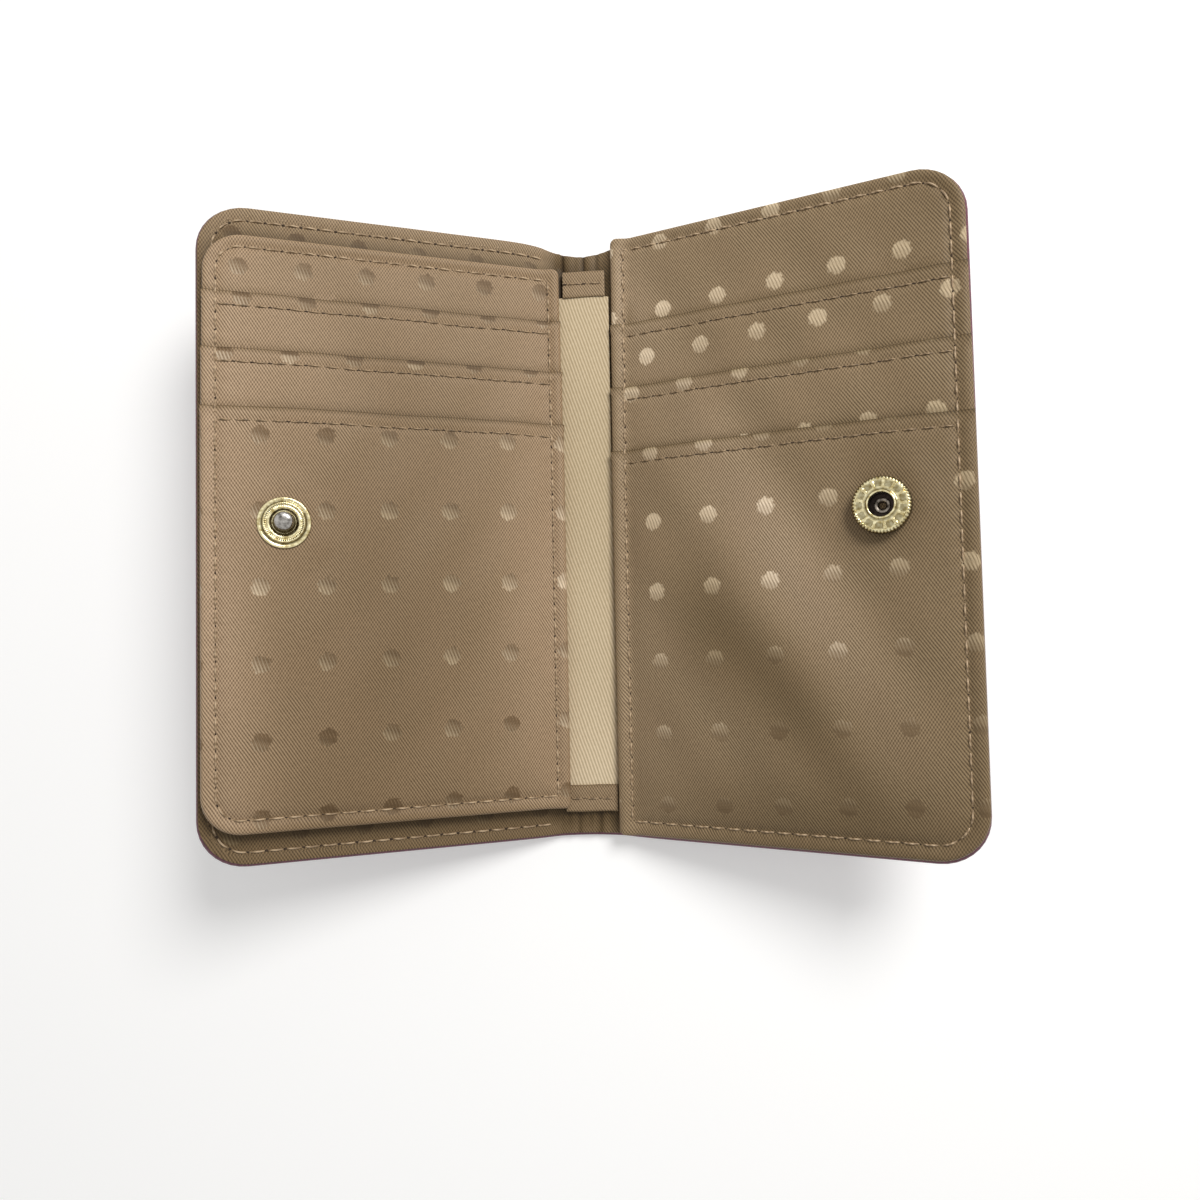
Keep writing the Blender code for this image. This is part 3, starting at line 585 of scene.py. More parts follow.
def ring(box, radii, inset, across_marks, along_marks):
    """Points round a box = (low across, high across, low along, high along), from lower left."""
    left, right, bottom, top = (
        box[0] + inset,
        box[1] - inset,
        box[2] + inset,
        box[3] - inset,
    )
    r0, r1, r2, r3 = [max(radius - inset, 0.0) for radius in radii]
    back_across = 1 - across_marks[::-1]
    back_along = 1 - along_marks[::-1]
    runs = [
        ((left + r0, bottom), (right - r1, bottom), across_marks, (right - r1, bottom + r1), r1),
        ((right, bottom + r1), (right, top - r2), along_marks, (right - r2, top - r2), r2),
        ((right - r2, top), (left + r3, top), back_across, (left + r3, top - r3), r3),
        ((left, top - r3), (left, bottom + r0), back_along, (left + r0, bottom + r0), r0),
    ]
    points = []
    for number, (start, end, marks, centre, radius) in enumerate(runs):
        start, end = np.array(start), np.array(end)
        points.append(start + np.outer(marks, end - start))
        turn = np.linspace(0, math.pi / 2, CORNER_STEPS + 1)[1:-1] + (number - 1) * math.pi / 2
        points.append(np.array(centre) + radius * np.stack([np.cos(turn), np.sin(turn)], axis=-1))
    return np.concatenate(points)


def distance_along(points, closed=False):
    if closed:
        points = np.concatenate([points, points[:1]])
    steps = np.linalg.norm(np.diff(points, axis=0), axis=1)
    return np.concatenate([[0.0], np.cumsum(steps)])


def evenly(points, step, closed=False):
    """The same line with points at even steps."""
    run = distance_along(points, closed)
    if closed:
        points = np.concatenate([points, points[:1]])
    count = max(2, int(round(run[-1] / step)))
    marks = np.linspace(0, run[-1], count + 1)
    return np.stack([np.interp(marks, run, points[:, k]) for k in (0, 1)], axis=-1), marks


def make_seam(points, closed=False):
    """A seam: its line, the distance along it, and a stitch length that fits it."""
    line, run = evenly(points, LINE_STEP, closed)
    count = max(1, int(round(run[-1] / STITCH_LENGTH)))
    return {"line": line, "run": run, "stitch": run[-1] / count, "count": count}


def nearest_on(seam, across, along):
    """How far each point is from the seam, and how far along the seam that is."""
    points = np.stack([across, along], axis=-1)
    far = np.empty(len(points))
    run = np.empty(len(points))
    for first in range(0, len(points), NEAREST_BLOCK):
        block = slice(first, first + NEAREST_BLOCK)
        part = points[block]
        gaps = ((part[:, None, :] - seam["line"][None, :, :]) ** 2).sum(axis=2)
        best = gaps.argmin(axis=1)
        far[block] = np.sqrt(gaps[np.arange(len(part)), best])
        run[block] = seam["run"][best]
    return far, run


PLAIN_MARKS = np.linspace(0, 1, CORNER_STEPS)
leaf_box = (0.0, LEAF_WIDTH, -HALF_HEIGHT, HALF_HEIGHT)
sample = ring(leaf_box, [COVER_CORNER] * 4, 0.0, PLAIN_MARKS, PLAIN_MARKS)
round_mm = distance_along(sample, True)[-1] * MM_PER_M
print("a leaf's ring has", len(sample), "points and is", round(round_mm), "mm round")

# %% [markdown]
# The surface of sewn cloth
#
# Where a row of stitches pulls layers together, the surface sinks, and it sinks most at each needle
# hole. Inside the seam it puffs up again, and outside it the turned edge makes a soft roll. Broad
# ripples keep a large piece from looking like a board. All of these are heights added to a level,
# which is quicker and easier to steer than simulating cloth that hardly moves.

# %% Heights for sewn cloth
SEAM_WIDTH = 0.00075
PUCKER_WIDTH = 0.0013
PUFF_REACH = 0.0045
ROLL_PLACE = 0.0012
ROLL_WIDTH = 0.0008
RIPPLES = (
    (0.041, 0.067, 0.3),
    (-0.029, 0.038, 1.9),
    (0.019, -0.052, 4.1),
    (0.013, 0.021, 5.2),
)


def ripple(across, along, size, phase):
    total = 0.0
    for wide, long, start in RIPPLES:
        total = total + np.sin(math.tau * (across / wide + along / long) + start + phase)
    return size * total / len(RIPPLES)


def seam_dent(seam, across, along, sink, pucker):
    """The dip along a seam, deeper at each needle hole."""
    far, run = nearest_on(seam, across, along)
    holes = np.cos(math.tau * run / seam["stitch"])
    return -sink * bell(far, SEAM_WIDTH) - pucker * holes * bell(far, PUCKER_WIDTH)


print("ripples of", [round(abs(wide) * MM_PER_M) for wide, _, _ in RIPPLES], "mm")

# %% [markdown]
# From points to a mesh that knows its cloth
#
# A mesh starts as a list of points and faces. Doubled points are then welded, and the faces are
# turned outwards. Each point also gets the two attributes that the cloth materials read. How light a
# spot is has a part of chance: a formula turns the spot's column and row into a number that looks
# random but is the same on every run, and a plain seed gives each layer numbers of its own.

# %% Meshes and their cloth attributes
WELD = 1e-7
SMOOTH_ANGLE = math.radians(50.0)
CHANCE_TURNS = (12.9898, 78.233)
CHANCE_SCATTER = 43758.5453
SPOT_VARIETY = 0.4


def add_mesh(name, points, faces, *materials):
    mesh = bpy.data.meshes.new(name)
    mesh.from_pydata(np.asarray(points).tolist(), [], faces)
    for material in materials:
        mesh.materials.append(material)
    piece = bpy.data.objects.new(name, mesh)
    bpy.context.scene.collection.objects.link(piece)
    return piece


def spot_chance(u, v, seed):
    """A chance number from -0.5 to 0.5 for each spot, the same at all of its points."""
    column = np.round(u / SPOT_SPACING_ACROSS)
    row = np.round(v / SPOT_SPACING_ALONG)
    turn = column * CHANCE_TURNS[0] + row * CHANCE_TURNS[1] + seed
    return np.abs(np.sin(turn) * CHANCE_SCATTER) % 1.0 - 0.5


def on_cloth(u, v, tone=0.0, shade=1.0, warmth=0.5, seed=0):
    """Each point's place on the flat cloth, and its painted light: spot lightness, shade and warmth.
    """
    tone = tone + SPOT_VARIETY * spot_chance(u, v, seed)
    return np.stack([u, v] + [value + 0 * u for value in (tone, shade, warmth)], axis=-1)


def set_cloth(mesh, places):
    places = np.asarray(places, np.float32)
    flat = np.concatenate([places[:, :2], 0 * places[:, :1]], axis=1)
    # The second attribute holds painted light: how light the spots are, painted shade and sheen, and
    # the colour's warmth.
    for name, values in (("cloth", flat), ("spot_light_shade_warmth", places[:, 2:])):
        attribute = mesh.attributes.new(name, "FLOAT_VECTOR", "POINT")
        attribute.data.foreach_set("vector", values.ravel())


def finish_mesh(piece):
    """Welds doubled points, turns the faces outwards and shades them smoothly."""
    shape = bmesh.new()
    shape.from_mesh(piece.data)
    bmesh.ops.remove_doubles(shape, verts=shape.verts, dist=WELD)
    bmesh.ops.dissolve_degenerate(shape, edges=shape.edges, dist=WELD)
    bmesh.ops.recalc_face_normals(shape, faces=shape.faces)
    shape.to_mesh(piece.data)
    shape.free()
    piece.data.shade_smooth()
    piece.data.set_sharp_from_angle(angle=SMOOTH_ANGLE)
    return piece


first_spots = spot_chance(np.array([0.0, SPOT_SPACING_ACROSS]), 0.0, 1)
print("chance numbers of two spots side by side:", np.round(first_spots, 2).tolist())

# %% [markdown]
# Faces between rings
#
# Two rings with as many points each are joined by a band of four-cornered faces. A grid fills the
# middle of a piece. Its border is listed in the rings' order, with each corner point repeated for
# the points of a ring's corner, so that the same function joins it too.

# %% Join rings and grids


def bridge(first, second):
    """Faces between two closed rings of point numbers, leaving out doubled numbers."""
    faces = []
    for k in range(len(first)):
        after = (k + 1) % len(first)
        corners = [first[k], first[after], second[after], second[k]]
        corners = list(dict.fromkeys(corners))
        if len(corners) > 2:
            faces.append(corners)
    return faces


def grid_faces(first, columns, rows):
    return [
        [
            first + row * columns + column,
            first + row * columns + column + 1,
            first + (row + 1) * columns + column + 1,
            first + (row + 1) * columns + column,
        ]
        for row in range(rows - 1)
        for column in range(columns - 1)
    ]


def grid_rim(first, columns, rows):
    """Numbers of the grid's border points, in the order in which ring() lists its points."""
    table = first + np.arange(columns * rows).reshape(rows, columns)
    corner = CORNER_STEPS - 1
    runs = (table[0], table[:, -1], table[-1][::-1], table[:, 0][::-1])
    border = []
    for run in runs:
        border += [int(k) for k in run] + [int(run[-1])] * corner
    return border


def sewn_faces(columns, rows, count, levels, bent):
    """Faces of the grid, of the rings round it, and of the underside that closes the piece."""
    faces = grid_faces(0, columns, rows)
    before = grid_rim(0, columns, rows)
    first = columns * rows
    for _ in range(levels - 2 if bent else levels - 1):
        numbers = list(range(first, first + count))
        faces += bridge(before, numbers)
        before = numbers
        first += count
    if bent:
        faces += bridge(before, grid_rim(first, columns, rows))
        faces += grid_faces(first, columns, rows)
    else:
        faces.append(before[::-1])
    return faces


print("a grid of 3 by 3 points has", len(grid_faces(0, 3, 3)), "faces")

# %% [markdown]
# One builder for every sewn piece
#
# A sewn piece is cloth whose edge is turned over: its face, a rounded rim, and a narrow strip that
# goes back underneath. The builder lays a grid in the middle and rings round it, gives every point
# its height and its place on the flat cloth, and closes the mesh underneath, so that each piece is
# a solid sheet.

# %% The builder
FACE_INSETS = (
    0.0066, 0.0054, 0.0044, 0.0037, 0.0032, 0.0028, 0.0024, 0.0020, 0.0016, 0.0012, 0.0009
)
RIM_TURNS = np.radians([90, 66, 44, 22, 0, -22, -44, -66, -90])
INNER_TURNS = np.radians([-60, 0, 60])
LEAN_STEP = 0.001


def sewn_piece(name, material, shape, face, low, rim, turn_in, thick, place, cloth, bent=False):
    """A turned sheet. face, rim and turn_in are functions of across and along.

    low takes the outline's along too, because a turned edge keeps its own kind of fold.
    shape is (box, corner radii, marks across, marks along). A bent piece gets a grid below too.
    """
    box, radii, across_marks, along_marks = shape
    grid_across = box[0] + CORE_INSET + (box[1] - box[0] - 2 * CORE_INSET) * across_marks
    grid_along = box[2] + CORE_INSET + (box[3] - box[2] - 2 * CORE_INSET) * along_marks
    grid = np.array([(a, b) for b in grid_along for a in grid_across])
    outline = ring(box, radii, 0.0, across_marks, along_marks)
    lean = (ring(box, radii, LEAN_STEP, across_marks, along_marks) - outline) / LEAN_STEP

    def moved(inset):
        return outline + lean * np.reshape(inset + np.zeros(len(outline)), (-1, 1))

    def on_face(flat, sunk=0.0):
        return flat, face(flat[:, 0], flat[:, 1]) - sunk, flat

    rim_here = rim(outline[:, 0], outline[:, 1])
    turn_here = turn_in(outline[:, 0], outline[:, 1])
    low_here = low(outline[:, 0], outline[:, 1], outline[:, 1])
    rings = [ring(box, radii, inset, across_marks, along_marks) for inset in FACE_INSETS]
    levels = [on_face(flat) for flat in [grid] + rings]
    edge = moved(rim_here)
    edge_height = face(edge[:, 0], edge[:, 1])
    facing = np.sign(np.median(edge_height - low_here))
    half = facing * np.maximum(facing * (edge_height - low_here), thick) / 2
    middle = edge_height - half
    inward = facing * thick
    rim_length = math.pi * (rim_here + np.abs(half)) / 2
    for turn in RIM_TURNS:
        flat = moved(rim_here * (1 - math.cos(turn)))
        where = moved(rim_here - rim_length * (math.pi / 2 - turn) / math.pi)
        levels.append((flat, middle + half * math.sin(turn), where))
    tip = moved(turn_here)
    tip_low = low(tip[:, 0], tip[:, 1], outline[:, 1])
    tip_where = moved(rim_here - rim_length - turn_here)
    levels += [(tip, tip_low, tip_where), (tip, tip_low + inward, tip_where)]
    inner_rim = np.maximum(rim_here - thick, 0)
    for turn in INNER_TURNS:
        flat = moved(rim_here - inner_rim * math.cos(turn))
        levels.append((flat, middle + (half - inward) * math.sin(turn), tip_where))
    core = grid if bent else ring(box, radii, CORE_INSET, across_marks, along_marks)
    levels += [on_face(flat, inward) for flat in rings[::-1] + [core]]
    flat, height, where = [np.concatenate(parts) for parts in zip(*levels)]
    faces = sewn_faces(len(across_marks), len(along_marks), len(outline), len(levels), bent)
    piece = add_mesh(name, place(flat[:, 0], flat[:, 1], height), faces, material)
    set_cloth(piece.data, cloth(where[:, 0], where[:, 1]))
    return finish_mesh(piece)


def marks(length, step):
    """Even shares of a length, about a step apart."""
    return np.linspace(0, 1, max(2, int(round(length / step))) + 1)


def marks_fine_at_top(length, fine, step, coarse):
    """Shares that are close together over the top part, which shows, and wide apart below it."""
    low_part = np.linspace(0, length - fine, max(2, int(round((length - fine) / coarse))) + 1)
    high_part = np.linspace(length - fine, length, max(2, int(round(fine / step))) + 1)[1:]
    return np.concatenate([low_part, high_part]) / length


def inside_by(box, radii, across, along):
    """How far inside a rounded box each point is. Outside it the distance is negative."""
    centre = ((box[0] + box[1]) / 2, (box[2] + box[3]) / 2)
    right = across > centre[0]
    upper = along > centre[1]
    radius = np.where(
        upper, np.where(right, radii[2], radii[3]), np.where(right, radii[1], radii[0])
    )
    over_across = np.abs(across - centre[0]) - (box[1] - box[0]) / 2 + radius
    over_along = np.abs(along - centre[1]) - (box[3] - box[2]) / 2 + radius
    outside = np.hypot(np.maximum(over_across, 0), np.maximum(over_along, 0))
    return radius - outside - np.minimum(np.maximum(over_across, over_along), 0)


def constant(value):
    return lambda across, along: value + 0 * across


print("rings on the face:", len(FACE_INSETS), "and round the rim:", len(RIM_TURNS))

# %% [markdown]
# What is sewn to what
#
# The page on the left is smaller than its cover and sewn to it at its free side. The panel on the
# right is as large as its cover, and its edge only just leaves the leather's edge in sight. The
# cover's cloth lies in the page's shade, so their sizes come first. Each layer, from the base to
# the front pocket, has the height where the seam presses it and the height where it puffs up.

# %% Sizes of the page and the panel
PAGE = {
    "name": "page",
    "side": LEFT,
    "box": (-0.0016, 0.0605, -0.0503, 0.0504),
    "radii": (0.0012, 0.0065, 0.0065, 0.0012),
    "seam_inset": 0.0024,
    "low": 0.0028,
    "hem_low": 0.0036,
    "pocket_tops": (0.0504, 0.0401, 0.0304, 0.0204),
    "pressed": (0.0036, 0.0039, 0.0042, 0.0045),
    "puffed": (0.0037, 0.0041, 0.0047, 0.0057),
}
PANEL = {
    "name": "panel",
    "side": RIGHT,
    "box": (-0.0007, 0.0615, -0.0554, 0.0560),
    "radii": (0.0012, 0.0080, 0.0080, 0.0012),
    "seam_inset": 0.0026,
    "low": 0.00136,
    "hem_low": 0.0024,
    "pocket_tops": (0.0560, 0.0392, 0.0272, 0.0152),
    "pressed": (0.0022, 0.0025, 0.0028, 0.0031),
    "puffed": (0.0023, 0.0027, 0.0032, 0.0043),
}
print("page", PAGE["box"], "panel", PANEL["box"])

# %% [markdown]
# Leather cover
#
# The outside is one piece of leather over two stiff boards. Its edges are turned up round the
# boards, so that only a thin line of leather shows from the inside. The two halves move with
# different leaves, so the finished skin is cut down the middle of the spine.

# %% Make the leather skin
LEATHER_PROUD = 0.00025
COVER_BOX = (-COVER_REACH, COVER_REACH, -HALF_HEIGHT - LEATHER_PROUD, HALF_HEIGHT)
COVER_RADII = (COVER_CORNER,) * 4
COVER_SEAM_INSET = 0.0026
LEATHER_OUTSIDE = -0.0005
TURNED_HEIGHT = 0.0013
TURNED_AT_SPINE = 0.00055
LEATHER_THICK = 0.0009
LEATHER_RIM = 0.0008
LEATHER_TURN_IN = 0.0012
LEATHER_STEP = 0.0011
LEATHER_SINK = 0.00025
LEATHER_PUCKER = 0.00005
LEATHER_RIPPLE = 0.00008
LEATHER_RIPPLE_START = 0.5
TUCK_TOP = 0.0023
TUCK_BOTTOM = 0.0003
TUCK_WIDTH = 0.0070


def on_tucked_cover(across, along, height):
    """The spine's ends are drawn in a little where the cover folds."""
    drawn = np.where(along > 0, TUCK_TOP, TUCK_BOTTOM) * bell(across, TUCK_WIDTH)
    return on_cover(across, along * (1 - drawn / HALF_HEIGHT), height)


def over_spine(across):
    """1 over the spine and 0 over the leaves."""
    return 1 - fade(np.abs(across), FLAT_HALF - FOLD_REACH, FLAT_HALF + FOLD_LENGTH)


def halves(piece):
    """Cuts a piece down the middle of the spine and gives (left half, right half)."""
    made = []
    for side, word in ((LEFT, "left_"), (RIGHT, "right_")):
        shape = bmesh.new()
        shape.from_mesh(piece.data)
        everything = shape.verts[:] + shape.edges[:] + shape.faces[:]
        cut = bmesh.ops.bisect_plane(
            shape, geom=everything, dist=WELD, plane_co=(0, 0, 0), plane_no=(-side, 0, 0),
            clear_outer=True,
        )
        edges = [item for item in cut["geom_cut"] if isinstance(item, bmesh.types.BMEdge)]
        bmesh.ops.holes_fill(shape, edges=edges)
        mesh = piece.data.copy()
        shape.to_mesh(mesh)
        shape.free()
        mesh.shade_smooth()
        mesh.set_sharp_from_angle(angle=SMOOTH_ANGLE)
        half = bpy.data.objects.new(word + piece.name, mesh)
        bpy.context.scene.collection.objects.link(half)
        made.append(half)
    bpy.data.objects.remove(piece)
    return made


seam_marks = (marks(COVER_REACH, LINE_STEP), marks(HALF_HEIGHT, LINE_STEP))
cover_seam = make_seam(ring(COVER_BOX, COVER_RADII, COVER_SEAM_INSET, *seam_marks), closed=True)


def leather_face(across, along):
    dent = seam_dent(cover_seam, across, along, LEATHER_SINK, LEATHER_PUCKER)
    waves = ripple(across, along, LEATHER_RIPPLE, LEATHER_RIPPLE_START)
    return LEATHER_OUTSIDE - dent - waves * (1 - over_spine(across))


def leather_low(across, along, edge_along):
    return TURNED_HEIGHT + (TURNED_AT_SPINE - TURNED_HEIGHT) * over_spine(across)


cover_marks = (
    marks(2 * COVER_REACH, LEATHER_STEP),
    marks(2 * HALF_HEIGHT, LEATHER_STEP),
)
leather = sewn_piece(
    "leather_skin",
    berry_leather,
    (COVER_BOX, COVER_RADII, *cover_marks),
    leather_face,
    leather_low,
    constant(LEATHER_RIM),
    constant(LEATHER_TURN_IN),
    LEATHER_THICK,
    on_tucked_cover,
    on_cloth,
    bent=True,
)
left_skin, right_skin = halves(leather)
print("leather halves with", len(left_skin.data.vertices), "points each")

# %% [markdown]
# Cover lining
#
# The lining is sewn to the leather all round. It shows as a border round the page on the left, and
# in small pleats at both ends of the spine, where folding has gathered it.

# %% Make the cover lining
LINING_INSET = 0.00035
LINING_BOX = (
    LINING_INSET - COVER_REACH,
    COVER_REACH - LINING_INSET,
    LINING_INSET - HALF_HEIGHT,
    HALF_HEIGHT - LINING_INSET,
)
LINING_LEVEL = 0.00172
LINING_LOW = 0.00142
LINING_AT_SPINE = 0.00125
LINING_LOW_AT_SPINE = 0.00062
LINING_THICK = 0.0002
LINING_RIM = 0.00030
LINING_TURN_IN = 0.0016
LINING_STEP = 0.00075
LINING_ROWS_STEP = 0.0012
LINING_SINK = 0.00018
LINING_PUCKER = 0.00007
PLEATS = ((0.0020, 0.0, 1.0), (0.0013, 1.1, 0.8), (0.0034, 2.0, 0.8))
PLEAT_HEIGHT = 0.00090
PLEAT_SHARPNESS = 2.0
PLEAT_LEVEL = 0.62
LINING_RIPPLE = 0.00006
LINING_RIPPLE_START = 2.2
LINING_SHADES = (0.64, 1.06)
WARMTH_OF_LINING = 0.4
PAGE_SHADE = 0.6
PAGE_SHADE_REACH = 0.0024
SPINE_SHADE = 0.30
SPINE_END_SHADE = 0.66
SPINE_SHADE_FROM = 0.0512
VALLEY_DEPTH = 0.3
VALLEY_SHADE = 0.75


def pleats(across, along):
    """Rounded ridges with narrow valleys between them."""
    total = 0.0
    for width, start, share in PLEATS:
        turn = math.tau * across / width + start + 2 * np.sin(along / SPOT_SPACING_ALONG)
        ridge = 1 - np.abs(np.cos(turn / 2)) ** (2 * PLEAT_SHARPNESS)
        total = total + share * (ridge - PLEAT_LEVEL)
    return PLEAT_HEIGHT * total / len(PLEATS)


def lining_face(across, along):
    spine = over_spine(across)
    level = LINING_LEVEL + (LINING_AT_SPINE - LINING_LEVEL) * spine
    dent = seam_dent(cover_seam, across, along, LINING_SINK, LINING_PUCKER)
    waves = ripple(across, along, LINING_RIPPLE, LINING_RIPPLE_START)
    folds = pleats(across, along) * spine + waves * (1 - spine)
    return np.maximum(level + dent * (1 - spine) + folds, LINING_LOW_AT_SPINE + LINING_THICK)


def lining_cloth_place(across, along):
    """The cloth is darker beside the page, under the bindings and in the valleys of the pleats."""
    spine = over_spine(across)
    beside = -inside_by(PAGE["box"], PAGE["radii"], -across - LEAF_START, along)
    near_page = np.where(across < 0, np.exp(-np.maximum(beside, 0) / PAGE_SHADE_REACH), 0)
    valley = np.clip(-pleats(across, along) / PLEAT_HEIGHT / VALLEY_DEPTH, 0, 1)
    ends = fade(np.abs(along), SPINE_SHADE_FROM, HALF_HEIGHT)
    spine_shade = SPINE_SHADE + (SPINE_END_SHADE - SPINE_SHADE) * ends
    spine_shade = spine_shade * (1 - VALLEY_SHADE * valley)
    leaf_shade = np.interp(along, (-HALF_HEIGHT, HALF_HEIGHT), LINING_SHADES)
    shade = (1 - PAGE_SHADE * near_page) * (leaf_shade + (spine_shade - leaf_shade) * spine)
    return on_cloth(across, along, 0.0, shade, WARMTH_OF_LINING)


def lining_low(across, along, edge_along):
    return LINING_LOW + (LINING_LOW_AT_SPINE - LINING_LOW) * over_spine(across)


lining_marks = (
    marks(2 * COVER_REACH, LINING_STEP),
    marks(2 * HALF_HEIGHT, LINING_ROWS_STEP),
)
lining = sewn_piece(
    "cover_lining",
    lining_cloth,
    (LINING_BOX, COVER_RADII, *lining_marks),
    lining_face,
    lining_low,
    constant(LINING_RIM),
    constant(LINING_TURN_IN),
    LINING_THICK,
    on_tucked_cover,
    lining_cloth_place,
    bent=True,
)
left_cover_lining, right_cover_lining = halves(lining)
print("lining halves with", len(left_cover_lining.data.vertices), "points each")

# %% [markdown]
# Card page and card panel
#
# The page on the left and the panel on the right are made alike: a base cloth and three pockets,
# each a little lower than the one behind it. Every pocket has a folded top edge with a row of
# stitches below it. One row of stitches round the whole page or panel holds all the layers, so they
# are pressed flat there and puff up inside it.

# %% How the layers are pressed
HEM_INSET = 0.00235
HEM_SINK = 0.00012
HEM_PUCKER = 0.00005
HEM_WIDTH = 0.0006
SEAM_SINK = 0.00024
SEAM_PUCKER = 0.00009
ROLL_HEIGHT = 0.00009
FOLD_THICK = 0.00034
FOLD_RIM = 0.00022
SHEET_THICK = 0.0002
SIDE_RIM = 0.0006
TURN_IN = 0.0022
TRIMMED_TURN_IN = 0.0009
TRIM_REACH = 0.003
WRAP_START = 0.0004
WRAP_END = 0.0016
LAYER_STEP = 0.0001
HEM_LIFT_START = 0.001
HEM_LIFT_END = 0.004
CLOTH_RIPPLE = 0.00040
OWN_RIPPLE_SHARE = 0.2
SHEET_STEP = 0.00075
COARSE_STEP = 0.004
FINE_PART = 0.016
SNAP_ACROSS = 0.0474
SNAP_ALONG = 0.00095
SNAP_FLAT_RADIUS = 0.0048
SNAP_FADE_RADIUS = 0.0100
SNAP_CREASES = 7
SNAP_CREASE_HEIGHT = 0.00005
SNAP_CREASE_RADIUS = 0.0075
SNAP_CREASE_WIDTH = 0.0022

LAYER_NAMES = ("base", "pocket_rear", "pocket_middle", "pocket_front")
FRONT = len(LAYER_NAMES) - 1
print("each part has the layers", LAYER_NAMES)

# %% [markdown]
# Spots and sheen
#
# Each layer is cut from the spotted cloth at a place of its own, and slightly off the grain, so the
# rows of spots don't meet from layer to layer. A spot is paler where its floats face the light, which
# changes smoothly over a part, and on the page it is darker on a pocket's rolled lip. Satin shines
# where it bulges, so broad bands of light and shade lie over each part. A band has
# its middle (across and along), its slope in degrees, its reach along the slope and beside it, and
# its strength.

# %% Where the spots are, and how the cloth shines
SPOT_PLACES = {
    "page": ((0.0023, 0.0456), (0.0017, 0.0403), (0.0045, 0.0306), (0.0093, 0.0038)),
    "panel": ((0.0097, 0.0408), (0.0064, 0.0324), (0.0033, 0.0258), (0.0075, 0.0015)),
}
SPOT_LEAN = {"page": 0.0, "panel": 0.03}
SPOT_SKEW = {"page": -0.02, "panel": 0.05}
SPOT_TONES = {"page": (-0.02, 0.05, 0.1), "panel": (0.93, 0.91, 0.75)}
TONES_ALONG = {"page": 0.0, "panel": -14.0}
TONES_ACROSS = {"page": (1.0, 0.0, 0.0, -3.1), "panel": (-4.0, -6.0, -6.0, -5.9)}
OUTER_TONE = {"page": 0.0, "panel": 0.3}
OUTER_START = 0.0562
OUTER_END = 0.0580
FRONT_LOWEST_TONE = {"page": -0.1, "panel": 0.05}
FRONT_TONE_RISE = {"page": 0.5, "panel": 0.8}
FRONT_TONE_MIDDLE = {"page": -0.009, "panel": 0.0}
FRONT_TONE_REACH = 0.028
# On the page, spots on a pocket's rolled lip are painted darker: painted shade at the fold.
LIP_TONE = {"page": -0.9, "panel": 0.0}
LIP_START = 0.0004
LIP_END = 0.0009
# The page's cloth is painted warmer and the panel's cooler: painted light, for the warmer light on
# the page's side.
PAINTED_LIGHT_WARMTH = {"page": 0.7, "panel": 0.15}
EDGE_SHADE = 0.72
EDGE_SHADE_REACH = 0.00040
MOUTH_SHADE = 0.36
MOUTH_SHADE_REACH = 0.0006
SHEEN_LEVEL = {"page": 0.80, "panel": 1.02}
SHEEN_FALL = {"page": 0.0, "panel": -4.0}
SHEEN_BANDS = {
    "page": (
        (0.0590, -0.006, 90, 0.055, 0.0085, 0.60),
        (0.0010, -0.014, 90, 0.050, 0.0110, 0.42),
        (0.0300, 0.046, 0, 0.060, 0.0220, 0.14),
        (0.0460, 0.024, 80, 0.022, 0.0090, 0.22),
        (0.0330, -0.010, 90, 0.024, 0.0080, -0.07),
        (0.0560, -0.050, 0, 0.010, 0.0080, 0.12),
        (0.0300, 0.052, 0, 0.035, 0.0040, 0.06),
        (0.0300, -0.030, -60, 0.030, 0.0070, -0.06),
    ),
    "panel": (
        (0.0040, 0.043, 105, 0.015, 0.0050, 0.22),
        (0.0310, -0.006, -60, 0.030, 0.0070, 0.52),
        (0.0205, -0.020, -55, 0.016, 0.0060, -0.34),
        (0.0350, -0.033, -60, 0.014, 0.0060, -0.22),
        (0.0030, -0.020, 90, 0.030, 0.0060, 0.10),
        (0.0350, 0.024, 0, 0.030, 0.0080, 0.08),
        (0.0200, 0.040, 0, 0.022, 0.0040, 0.07),
        (0.0560, 0.052, 0, 0.008, 0.0060, -0.12),
        (0.0500, 0.004, 90, 0.010, 0.0060, -0.16),
        (0.0320, -0.052, 0, 0.030, 0.0090, -0.26),
        (0.0610, 0.000, 90, 0.060, 0.0050, -0.06),
    ),
}
spacings = (SPOT_SPACING_ACROSS, SPOT_SPACING_ALONG)
print("spots repeat every", [spacing * MM_PER_M for spacing in spacings], "mm across and along")

# %% [markdown]
# The makers of a layer
#
# The same four steps make every layer: its height, its shine, where its cloth was cut, and the
# turned sheet itself. The front pocket is also pressed flat under the snap, with a few short creases
# round it.

# %% Make the layers of the page and the panel


def perimeter_seam(part):
    box = part["box"]
    seam_marks = (marks(box[1], LINE_STEP), marks(box[3], LINE_STEP))
    return make_seam(ring(box, part["radii"], part["seam_inset"], *seam_marks), closed=True)


def hem_seam(part, number):
    along = part["pocket_tops"][number] - HEM_INSET
    start = part["box"][0] + part["seam_inset"]
    end = part["box"][1] - part["seam_inset"]
    return make_seam(np.array([(start, along), (end, along)]))


def hem_lift(part, across):
    """How much higher the part lies near the spine, where it passes over the fold."""
    rise = part["hem_low"] - part["low"]
    edge = part["box"][0]
    return rise * (1 - fade(across, edge + HEM_LIFT_START, edge + HEM_LIFT_END))


def snap_share(across, along):
    """1 under the snap, where the cloth is pressed flat, and 0 away from it."""
    away = np.hypot(across - SNAP_ACROSS, along - SNAP_ALONG)
    return 1 - fade(away, SNAP_FLAT_RADIUS, SNAP_FADE_RADIUS)


